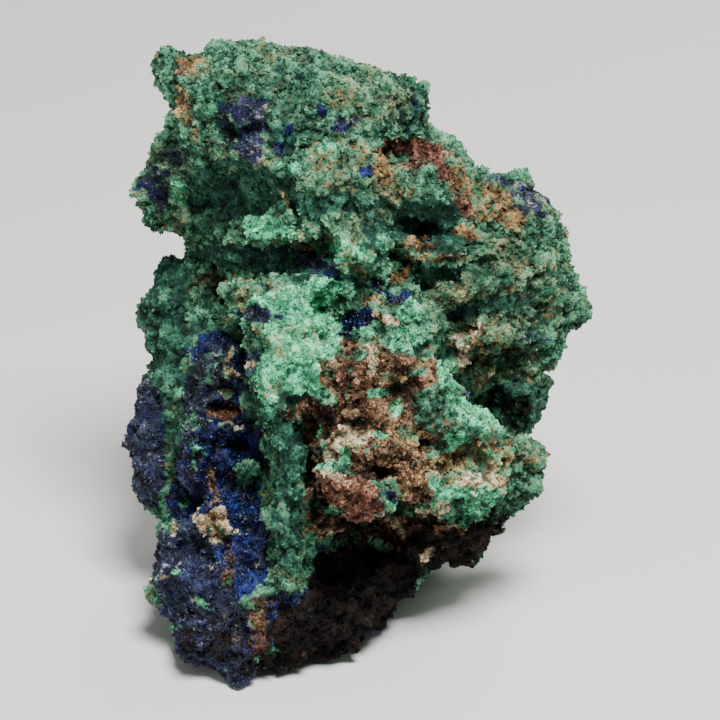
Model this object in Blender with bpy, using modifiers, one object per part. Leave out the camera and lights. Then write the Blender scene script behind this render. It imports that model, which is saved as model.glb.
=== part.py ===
"""A rugged hand specimen of copper ore: azurite and malachite crusts over brown, iron-stained rock.

Rock and crusts grew together, so the specimen is one solid. It is laid out on its showy face: every
lump and hollow is placed across that face, up it and out of it, in millimetres. The whole mass is then
leaned back and trimmed flat underneath, where it stands. World: +Z up, face towards -Y.
"""

import math

import bmesh
import bpy
from mathutils import Euler, Matrix, Vector

MM = 0.001
NAME = "azurite_specimen"

# Driving dimensions, in millimetres and degrees.
LEAN_BACK = 22.0  # how far the face looks up from level
FOOT_OUT = 26.0  # how far the front foot's tip stands out of the face's middle plane
FUSE_CELL = 1.1  # grain at which the lumps are fused into one skin
HOLLOW_CELL = 0.6  # the same for the hollows, which are smaller
SKIN_CELL = 0.8  # and for the last, roughened skin
MOST_TRIANGLES = 7600
SLAB = 400.0  # side of the slab that trims the foot flat
CRUST_COLOUR = (0.11, 0.2, 0.17, 1.0)
CRUST_ROUGHNESS = 0.85

# Each lump or hollow: (across, up, out, half width, half height, half depth, roll in the face's plane).
# Across runs to the viewer's right from the middle of the face, up starts at the tip of the front foot.
HEART = [
    (-8, 46, -12, 26, 28, 26, 0),
    (2, 64, -12, 26, 23, 26, 0),
    (-10, 88, -12, 22, 22, 22, 0),
    (14, 70, -16, 20, 20, 20, 0),
    (-12, 26, -6, 20, 18, 22, 0),
    (-16, 15, 8, 13, 8, 13, 0),
    (-12, 37, -27, 22, 18, 18, 0),
    (9, 40.5, -30, 18.5, 19, 17, 0),
    (-20, 62, -26, 14, 18, 14, 0),
    (14, 74, -26, 15, 14, 13, 0),
    (-8, 84, -26, 16, 16, 12, 0),
]
CROWN = [
    (-20, 100, 2, 14.5, 15, 17, 8),
    (-6, 99, 2, 13, 12.5, 16, -8),
    (-19, 109.5, -3, 8, 7.4, 11, 0),
    (-13, 111, -3, 5, 5.8, 8, 0),
    (-26, 109.5, -5, 6, 6, 9, 0),
    (-4.5, 107, -2, 8.5, 6.2, 11, -8),
    (3, 104.2, -2, 7, 7.4, 12, 0),
    (7, 104, -4, 5.6, 6, 10, -30),
    (-28, 99, -1, 8, 10, 13, 0),
    (-34.4, 111.2, -9, 4.1, 5.1, 6, 20),
    (-30.8, 107, -7, 6, 7, 8, 0),
    (-28, 97, 9, 5, 4, 6, 0),
    (-19.5, 94.5, 13, 5, 4.5, 6, 20),
    (-20.5, 102.5, 14, 4, 3, 5, 0),
    (-12, 92, 13, 6, 6, 7, 0),
    (-2, 90, 13, 8, 6, 8, 0),
    (-8, 84, 14, 5, 5.5, 6, 30),
    (-17.5, 80.5, 14, 5, 4.2, 6, -10),
    (1, 78, 15, 6, 4.6, 7, 15),
    (3, 84, 12, 5, 4, 7, 0),
]
LEFT_SHOULDER = [
    (-36, 91, -7, 5.8, 5, 7, 0),
    (-40, 90.2, -8, 3, 3, 4, 0),
    (-36.8, 86, -8, 4, 4, 6, -30),
    (-31, 84.5, -7, 7, 5.2, 8, -30),
    (-32.5, 94.5, -4, 6.6, 6, 9, 0),
]
RIGHT_FLANK = [
    (13.5, 96, -8, 6, 4.6, 9, -10),
    (19.5, 91, -4, 5, 4, 9, -25),
    (18, 88, 0, 10, 7, 12, -25),
    (26, 86.3, -5, 7.5, 6.2, 11, -20),
    (29.5, 79.5, -3, 8.3, 8.5, 14, -25),
    (27, 73, 0, 11.8, 9, 15, 0),
    (38, 68, -7, 6.2, 5, 8, -10),
    (32, 62.5, -5, 7, 5.2, 11, 0),
    (11.5, 90, 11, 6, 5, 7, -15),
    (13, 85.5, 12, 7, 3.4, 7, -25),
    (17, 77.8, 12, 9.5, 3, 8, 14),
    (26, 80, 8, 6, 3.4, 7, 10),
    (20, 70.5, 13, 10, 3.6, 8, 12),
    (23, 64, 10, 7, 4.5, 8, 8),
    (28.5, 53, -12, 7, 7.6, 12, 15),
]
GREEN_FACE = [
    (-15, 69.5, 13, 9.5, 4, 9, 4),
    (-6, 71, 12, 7, 3.4, 9, 6),
    (-13, 62, 18, 7.5, 8, 10, 0),
    (-9.5, 56, 20, 5.5, 7, 9, 0),
    (-16, 53, 19, 4.6, 8, 8, 4),
    (-12.6, 41, 18, 3.4, 9, 8, 0),
    (-13.6, 29, 18.5, 4, 6, 7, -10),
    (-13.6, 20.5, 18, 4.6, 5, 7, 0),
]
IRON_FACE = [
    (3, 57, 20, 8.5, 7, 9, 0),
    (-1.5, 49, 22, 6.5, 6, 9, 0),
    (9.5, 52, 19, 8, 8, 9, 0),
    (7, 65, 16, 9, 4.6, 9, -10),
    (-1.5, 35.8, 26.5, 8.8, 5, 10, -22),
    (-4.5, 42, 23, 4, 5.5, 7, -30),
    (5.5, 41.5, 23, 6, 4.2, 8, 0),
    (10.5, 36, 23, 3.4, 3.8, 6, 0),
    (16, 47.5, 16, 8, 6, 9, -35),
]
APRON = [
    (20, 44.5, 11, 10, 5, 10, -20),
    (29.5, 42.2, 3, 6.2, 3.6, 7, -5),
    (18, 35.5, 14, 10, 4.2, 9, 4),
    (27, 36.5, 2, 6.8, 6, 9, 0),
    (16, 28, 3, 10.5, 6.4, 10, 8),
    (19, 25, -2, 4.8, 5.4, 8, 15),
    (11, 24, 6, 5, 4.6, 7, -30),
]
AZURITE_WALL = [
    (-26, 58, 5, 5.5, 6.5, 10, 20),
    (-25.5, 48.5, 6, 6, 5, 9, 0),
    (-29, 41, 4, 5.5, 6.5, 10, 0),
    (-25.5, 29.5, 11, 4.4, 4.6, 7, 0),
    (-33, 25, 1, 5.8, 7, 10, 10),
    (-31, 18, 7, 7.6, 7, 12, 0),
    (-24, 20, 10, 6, 7, 10, 0),
    (-20.5, 37.5, 9, 3, 2.8, 5, 0),
]
LEFT_FLANK = [
    (-33.8, 69, -15, 8, 5.8, 12, 10),
    (-32.5, 63, -15, 7.8, 7, 12, 0),
    (-35.3, 75, -17, 3.2, 3, 6, 0),
    (-30.5, 76.5, -14, 3, 3, 7, 0),
    (-36, 53.5, -15, 6.6, 5.4, 10, 30),
    (-37.2, 45, -13, 6.6, 8.8, 11, 0),
    (-36.2, 36.5, -11, 6.4, 7.4, 10, -15),
    (-32.5, 30, -8, 5.2, 5, 9, 0),
]
FOOT = [
    (-28.5, 8.6, 16, 5.8, 5.4, 10, 0),
    (-21, 5.8, 19, 3.8, 5, 9, 10),
    (-21, 2.8, 23, 2.8, 3.2, 5, 0),
    (-14.5, 8.3, 17, 7.5, 5.5, 9, 8),
    (-6, 11.3, 13, 8, 6.3, 9, 8),
    (1, 16.5, 6, 5.5, 7, 9, 35),
    (5.5, 20.5, 0, 5, 6.5, 9, 45),
]
LUMPS = [HEART, CROWN, LEFT_SHOULDER, RIGHT_FLANK, GREEN_FACE, IRON_FACE]
LUMPS += [APRON, AZURITE_WALL, LEFT_FLANK, FOOT]

HOLLOWS = [
    (-25, 87, 22, 9, 5.5, 17, 10),
    (-13, 81, 25, 5, 2.4, 12, -20),
    (-20, 75.8, 22, 13, 2.4, 17, -4),
    (1, 72.5, 27, 8, 1.9, 12, -12),
    (-23.5, 99, 22, 2.8, 2.2, 7, 0),
    (12.5, 81.5, 24, 7.5, 3, 13, 8),
    (15, 74, 25, 8, 1.8, 11, 12),
    (22, 67.5, 24, 8, 1.6, 12, 10),
    (-25.5, 53, 18, 6, 1.6, 9, 25),
    (-22, 43, 19, 6.5, 2.6, 11, 0),
    (-27, 35, 18, 5, 1.6, 10, -10),
    (-18.2, 34, 24, 1.7, 18, 11, 3),
    (-8.6, 36, 29, 2.2, 12, 12, 5),
    (0, 25, 29, 12, 4.6, 17, -12),
    (-1, 17, 26, 5, 3, 9, 15),
    (10, 31.5, 25, 4, 2.4, 9, 30),
    (28, 48.4, 10, 6, 2.0, 15, -12),
    (24, 57.5, 14, 4, 1.8, 10, -25),
    (3, 30, 32, 9, 1.6, 6, -22),
]


def to_world():
    """The matrix from the face's frame (across, up, out; millimetres) to the world, in metres."""
    lean = math.radians(LEAN_BACK)
    across = Vector((1, 0, 0))
    up = Vector((0, math.sin(lean), math.cos(lean)))
    out = Vector((0, -math.cos(lean), math.sin(lean)))
    turn = Matrix((across, up, out)).transposed().to_4x4()
    return Matrix.Scale(MM, 4) @ turn @ Matrix.Translation((0, 0, -FOOT_OUT))


def add_object(name, mesh, collection):
    """Put a mesh into a collection as an object."""
    obj = bpy.data.objects.new(name, mesh)
    collection.objects.link(obj)
    return obj


def blob_mesh(name, blobs):
    """One mesh of separate, overlapping ellipsoids, in world space."""
    shape = bmesh.new()
    for across, up, out, wide, tall, deep, roll in blobs:
        placed = (
            to_world()
            @ Matrix.Translation((across, up, out))
            @ Euler((0, 0, math.radians(roll))).to_matrix().to_4x4()
            @ Matrix.Diagonal((wide, tall, deep, 1))
        )
        bmesh.ops.create_icosphere(shape, subdivisions=4, radius=1.0, matrix=placed)
    mesh = bpy.data.meshes.new(name)
    shape.to_mesh(mesh)
    shape.free()
    return mesh


def ground_mesh(name):
    """A slab that fills everything below z = 0."""
    shape = bmesh.new()
    placed = Matrix.Translation((0, 0, -SLAB * MM / 2)) @ Matrix.Scale(SLAB * MM, 4)
    bmesh.ops.create_cube(shape, size=1.0, matrix=placed)
    mesh = bpy.data.meshes.new(name)
    shape.to_mesh(mesh)
    shape.free()
    return mesh


def noise_texture(name, kind, size, **settings):
    """A procedural texture for a Displace modifier."""
    texture = bpy.data.textures.new(name, kind)
    texture.noise_scale = size * MM
    for key, value in settings.items():
        setattr(texture, key, value)
    return texture


def add_fuse(obj, name, cell):
    """Fuse whatever overlaps into one closed skin of even cells."""
    fuse = obj.modifiers.new(name, "REMESH")
    fuse.mode = "VOXEL"
    fuse.voxel_size = cell * MM


def add_smooth(obj, name, times):
    """Soften the creases between fused lumps."""
    smooth = obj.modifiers.new(name, "SMOOTH")
    smooth.factor = 0.5
    smooth.iterations = times


def add_relief(obj, texture, height, middle=0.5, direction="NORMAL"):
    """Raise and sink the skin with a texture, by about height millimetres in all."""
    relief = obj.modifiers.new(texture.name, "DISPLACE")
    relief.texture = texture
    relief.texture_coords = "LOCAL"
    relief.direction = direction
    relief.strength = height * MM
    relief.mid_level = middle


def add_cut(obj, name, cutter):
    """Take the cutter's shape out of the object."""
    cut = obj.modifiers.new(name, "BOOLEAN")
    cut.operation = "DIFFERENCE"
    cut.solver = "EXACT"
    cut.object = cutter


def make_real(obj):
    """Replace the object's mesh with what its modifiers make of it."""
    graph = bpy.context.evaluated_depsgraph_get()
    mesh = bpy.data.meshes.new_from_object(obj.evaluated_get(graph))
    obj.modifiers.clear()
    obj.data = mesh


def thin_out(obj, most):
    """Merge faces, the flattest first, until at most this many triangles are left."""
    obj.data.calc_loop_triangles()
    thin = obj.modifiers.new("thin out", "DECIMATE")
    thin.ratio = min(1.0, most / len(obj.data.loop_triangles))
    make_real(obj)


def centre_on_base(obj):
    """Put the middle of the bounding box's bottom at the origin."""
    corners = [Vector(corner) for corner in obj.bound_box]
    low = Vector(map(min, zip(*corners)))
    high = Vector(map(max, zip(*corners)))
    obj.data.transform(Matrix.Translation((-(low.x + high.x) / 2, -(low.y + high.y) / 2, -low.z)))


def stone_material():
    """A dull mineral skin, between the green and the blue of the crusts."""
    material = bpy.data.materials.new("ore_crust")
    material.use_nodes = True
    shader = material.node_tree.nodes["Principled BSDF"]
    shader.inputs["Base Color"].default_value = CRUST_COLOUR
    shader.inputs["Roughness"].default_value = CRUST_ROUGHNESS
    shader.inputs["Metallic"].default_value = 0.0
    return material


def roughen(obj):
    """Bend the skin off round, then give it knobs and crags."""
    warp = noise_texture("warp", "CLOUDS", 9, noise_depth=1, cloud_type="COLOR")
    add_relief(obj, warp, 4.0, direction="RGB_TO_XYZ")
    add_relief(obj, noise_texture("knobs", "VORONOI", 5.5), -3.2, middle=0.25)
    add_relief(obj, noise_texture("crags", "CLOUDS", 3.5, noise_depth=2), 2.6)


def build_specimen(parts, cutters):
    """The whole rock: lumps fused, hollowed, roughened, thinned out and trimmed flat to stand on."""
    specimen = add_object(NAME, blob_mesh(NAME, sum(LUMPS, [])), parts)
    hollows = add_object("hollows", blob_mesh("hollows", HOLLOWS), cutters)
    add_fuse(hollows, "fuse hollows", HOLLOW_CELL)
    make_real(hollows)
    add_fuse(specimen, "fuse lumps", FUSE_CELL)
    add_cut(specimen, "hollow out", hollows)
    add_fuse(specimen, "even skin", FUSE_CELL)
    add_smooth(specimen, "soften creases", 2)
    roughen(specimen)
    add_fuse(specimen, "close skin", SKIN_CELL)
    make_real(specimen)
    thin_out(specimen, MOST_TRIANGLES)
    add_cut(specimen, "trim flat", add_object("ground", ground_mesh("ground"), cutters))
    make_real(specimen)
    centre_on_base(specimen)
    specimen.data.materials.clear()
    specimen.data.materials.append(stone_material())


def main():
    for old in list(bpy.data.objects):
        bpy.data.objects.remove(old)
    parts = bpy.data.collections.new(NAME)
    cutters = bpy.data.collections.new("cutters")
    bpy.context.scene.collection.children.link(parts)
    bpy.context.scene.collection.children.link(cutters)
    build_specimen(parts, cutters)
    for cutter in cutters.objects:
        cutter.hide_render = True
        cutter.display_type = "WIRE"


main()
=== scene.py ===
"""An azurite and malachite hand specimen, dressed over its solid.

The rock's skin is grown finer than the solid's, minerals and painted shade and light are laid over it in
patches, and grains and crystals are scattered where each mineral shows. World: metres, +Z up, the showy
face towards -Y.
"""

import itertools
import logging
import math
from dataclasses import dataclass, field
from enum import Enum, IntEnum

import bmesh
import bpy
import numpy as np
from mathutils import Matrix, Vector


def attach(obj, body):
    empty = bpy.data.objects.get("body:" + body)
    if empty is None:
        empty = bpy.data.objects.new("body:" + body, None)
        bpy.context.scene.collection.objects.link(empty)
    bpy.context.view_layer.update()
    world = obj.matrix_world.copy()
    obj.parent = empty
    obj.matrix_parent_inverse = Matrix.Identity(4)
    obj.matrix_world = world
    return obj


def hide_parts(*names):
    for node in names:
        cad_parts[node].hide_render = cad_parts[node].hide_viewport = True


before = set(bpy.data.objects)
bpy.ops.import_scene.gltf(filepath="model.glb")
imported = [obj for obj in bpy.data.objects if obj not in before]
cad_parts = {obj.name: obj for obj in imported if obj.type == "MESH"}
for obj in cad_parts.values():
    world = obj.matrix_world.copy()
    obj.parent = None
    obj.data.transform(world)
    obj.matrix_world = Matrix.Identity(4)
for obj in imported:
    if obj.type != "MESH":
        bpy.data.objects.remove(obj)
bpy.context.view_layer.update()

MM = 0.001
NODE = "azurite_specimen"
BODY = "root"
MOST_TRIANGLES = 199_000

# Numbers that the meshes carry: how high the skin stands out, from 0 to 1, which the finish turns into
# painted shade in the low parts, and each grain's own shade.
RELIEF = "relief"
GRAIN_TINT = "grain_tint"

Colour = tuple[float, float, float, float]
WHITE: Colour = (1, 1, 1, 1)
Axes = tuple[float, float, float]
Span = tuple[float, float]
Socket = bpy.types.NodeSocket
Feed = Socket | float | str | tuple[float, ...]
log = logging.getLogger(NODE)


class Mineral(Enum):
    """What the rock's skin shows, from place to place: its minerals, with painted shade and painted light
    among them.
    """

    MALACHITE = "malachite"
    # Pale green, bright enough to stand partly for painted light.
    MINT = "mint_malachite_and_light"
    OLIVE = "olive_malachite"
    # Dark green, laid mostly as painted shade in the recesses.
    DEEP = "deep_malachite_and_shade"
    AZURITE = "azurite"
    DUST = "dusty_azurite"
    OCHRE = "ochre"
    IRON = "ironstone"
    RUST = "rusty_ironstone"
    CREAM = "pale_crust"
    # Near-black rock: painted shade.
    PAINTED_SHADE = "shaded_rock"


class GrainShape(Enum):
    """The shapes that a scattered grain can take."""

    BEAD = "bead"
    CRYSTAL = "crystal"
    CRUMB = "crumb"


class Noise(Enum):
    """The noises that the colours are read from: a swell's width in millimetres, then its detail."""

    FINE = (0.5, 3.0)
    MIDDLE = (1.9, 3.0)
    BROAD = (7.5, 2.0)
    SPECK = (1.0, 3.0)
    FLECK = (2.6, 4.0)
    PRICK = (0.3, 1.0)


class Draw(IntEnum):
    """The seed of each random choice about a grain. Each form after the first has the next seed."""

    SIZE = 3
    STRETCH = 4
    TURN = 5
    TINT = 6
    FORM = 50


# ---------------------------------------------------------------------------------------- layout


@dataclass(frozen=True)
class FaceGrid:
    """The showy face's own axes, in millimetres: across it, up it and out of it.

    The face leans back, by degrees, and is laid out as it looks from a point straight out from its middle.
    """

    origin: Axes = (0.264, -22.694, -9.740)
    lean_back: float = 22.0
    # How far up the face its middle is, how far out the eye is, and how wide its view is there.
    middle_up: float = 58.14
    eye_out: float = 700.0
    view_width: float = 129.6

    def axes(self) -> np.ndarray:
        """The face's own directions.

        Returns:
            The across, up and out directions, one a row.
        """
        lean = math.radians(self.lean_back)
        rise, run = math.sin(lean), math.cos(lean)
        return np.array([(1, 0, 0), (0, rise, run), (0, -run, rise)])

    def placed(self, points: np.ndarray) -> np.ndarray:
        """Across, up and out, in millimetres, of each of a list of world positions in metres."""
        return (points / MM - np.array(self.origin)) @ self.axes().T

    def sighted(self, points: np.ndarray) -> np.ndarray:
        """Across and up as the eye sees them, which draws nearer points apart.

        Args:
            points: world positions in metres, one a row.

        Returns:
            Across and up on the plane through the face's middle, in millimetres.
        """
        at = self.placed(points)
        nearness = self.eye_out / (self.eye_out - at[:, 2])
        across = at[:, 0] * nearness
        up = self.middle_up + (at[:, 1] - self.middle_up) * nearness
        return np.stack([across, up], axis=1)

    def world(self, across: float, up: float, out: float) -> Vector:
        """The world position, in metres, of a point given on the face's axes."""
        return Vector((np.array(self.origin) + np.array([across, up, out]) @ self.axes()) * MM)


GRID = FaceGrid()

# Large numbers and shifts that stir a cell's place and a seed into a random value, whose low bits are kept.
CELL_STIR = (374761393, 668265263, 2147483647)
SEED_STIR = 974634777
LAST_STIR = 1274126177
FIRST_SHIFT = 13
LAST_SHIFT = 16
KEPT_BITS = 0xFFFFFF


def value_noise(points: np.ndarray, size: float, seed: int) -> np.ndarray:
    """Smooth random values over space.

    Args:
        points: positions in millimetres, one a row.
        size: the width of one swell of the noise, in millimetres.
        seed: picks the noise.

    Returns:
        One value a point, from -1 to 1.
    """
    at = points / size
    cell = np.floor(at).astype(np.int64)
    inside = smooth_step(0, 1, at - cell)
    total = np.zeros(len(points))
    for corner in itertools.product((0, 1), repeat=3):
        mixed = (cell + np.array(corner)) @ np.array(CELL_STIR) + seed * SEED_STIR
        mixed = (mixed ^ (mixed >> FIRST_SHIFT)) * LAST_STIR
        mixed = (mixed ^ (mixed >> LAST_SHIFT)) & KEPT_BITS
        share = np.where(np.array(corner) == 1, inside, 1 - inside).prod(axis=1)
        total += share * (mixed / (KEPT_BITS // 2) - 1)
    return total


def smooth_step(low: float, high: float, value: np.ndarray) -> np.ndarray:
    """0 below low, 1 above high, and smooth between them."""
    t = np.clip((value - low) / (high - low), 0, 1)
    return t * t * (3 - 2 * t)


# How wide a large patch's soft edge is, in millimetres. A small patch's is narrower.
PATCH_EDGE = 1.1


@dataclass(frozen=True)
class Patch:
    """A soft-edged oval on the showy face, in millimetres and degrees. Wide and tall are its radii."""

    across: float
    up: float
    wide: float
    tall: float
    roll: float = 0.0
    strength: float = 1.0

    def cover(self, place: np.ndarray, ragged: np.ndarray) -> np.ndarray:
        """How much of the skin this oval covers.

        Args:
            place: across and up of each point.
            ragged: how far each point is pushed in or out of the oval, to break its edge.

        Returns:
            A share from 0 to 1 for each point.
        """
        turn = math.radians(self.roll)
        off = place - np.array([self.across, self.up])
        along = (off[:, 0] * math.cos(turn) + off[:, 1] * math.sin(turn)) / self.wide
        over = (off[:, 1] * math.cos(turn) - off[:, 0] * math.sin(turn)) / self.tall
        edge = PATCH_EDGE / (PATCH_EDGE + min(self.wide, self.tall))
        reach = np.sqrt(along * along + over * over) + ragged * edge
        return self.strength * smooth_step(1 + edge, 1 - edge, reach)


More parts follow.
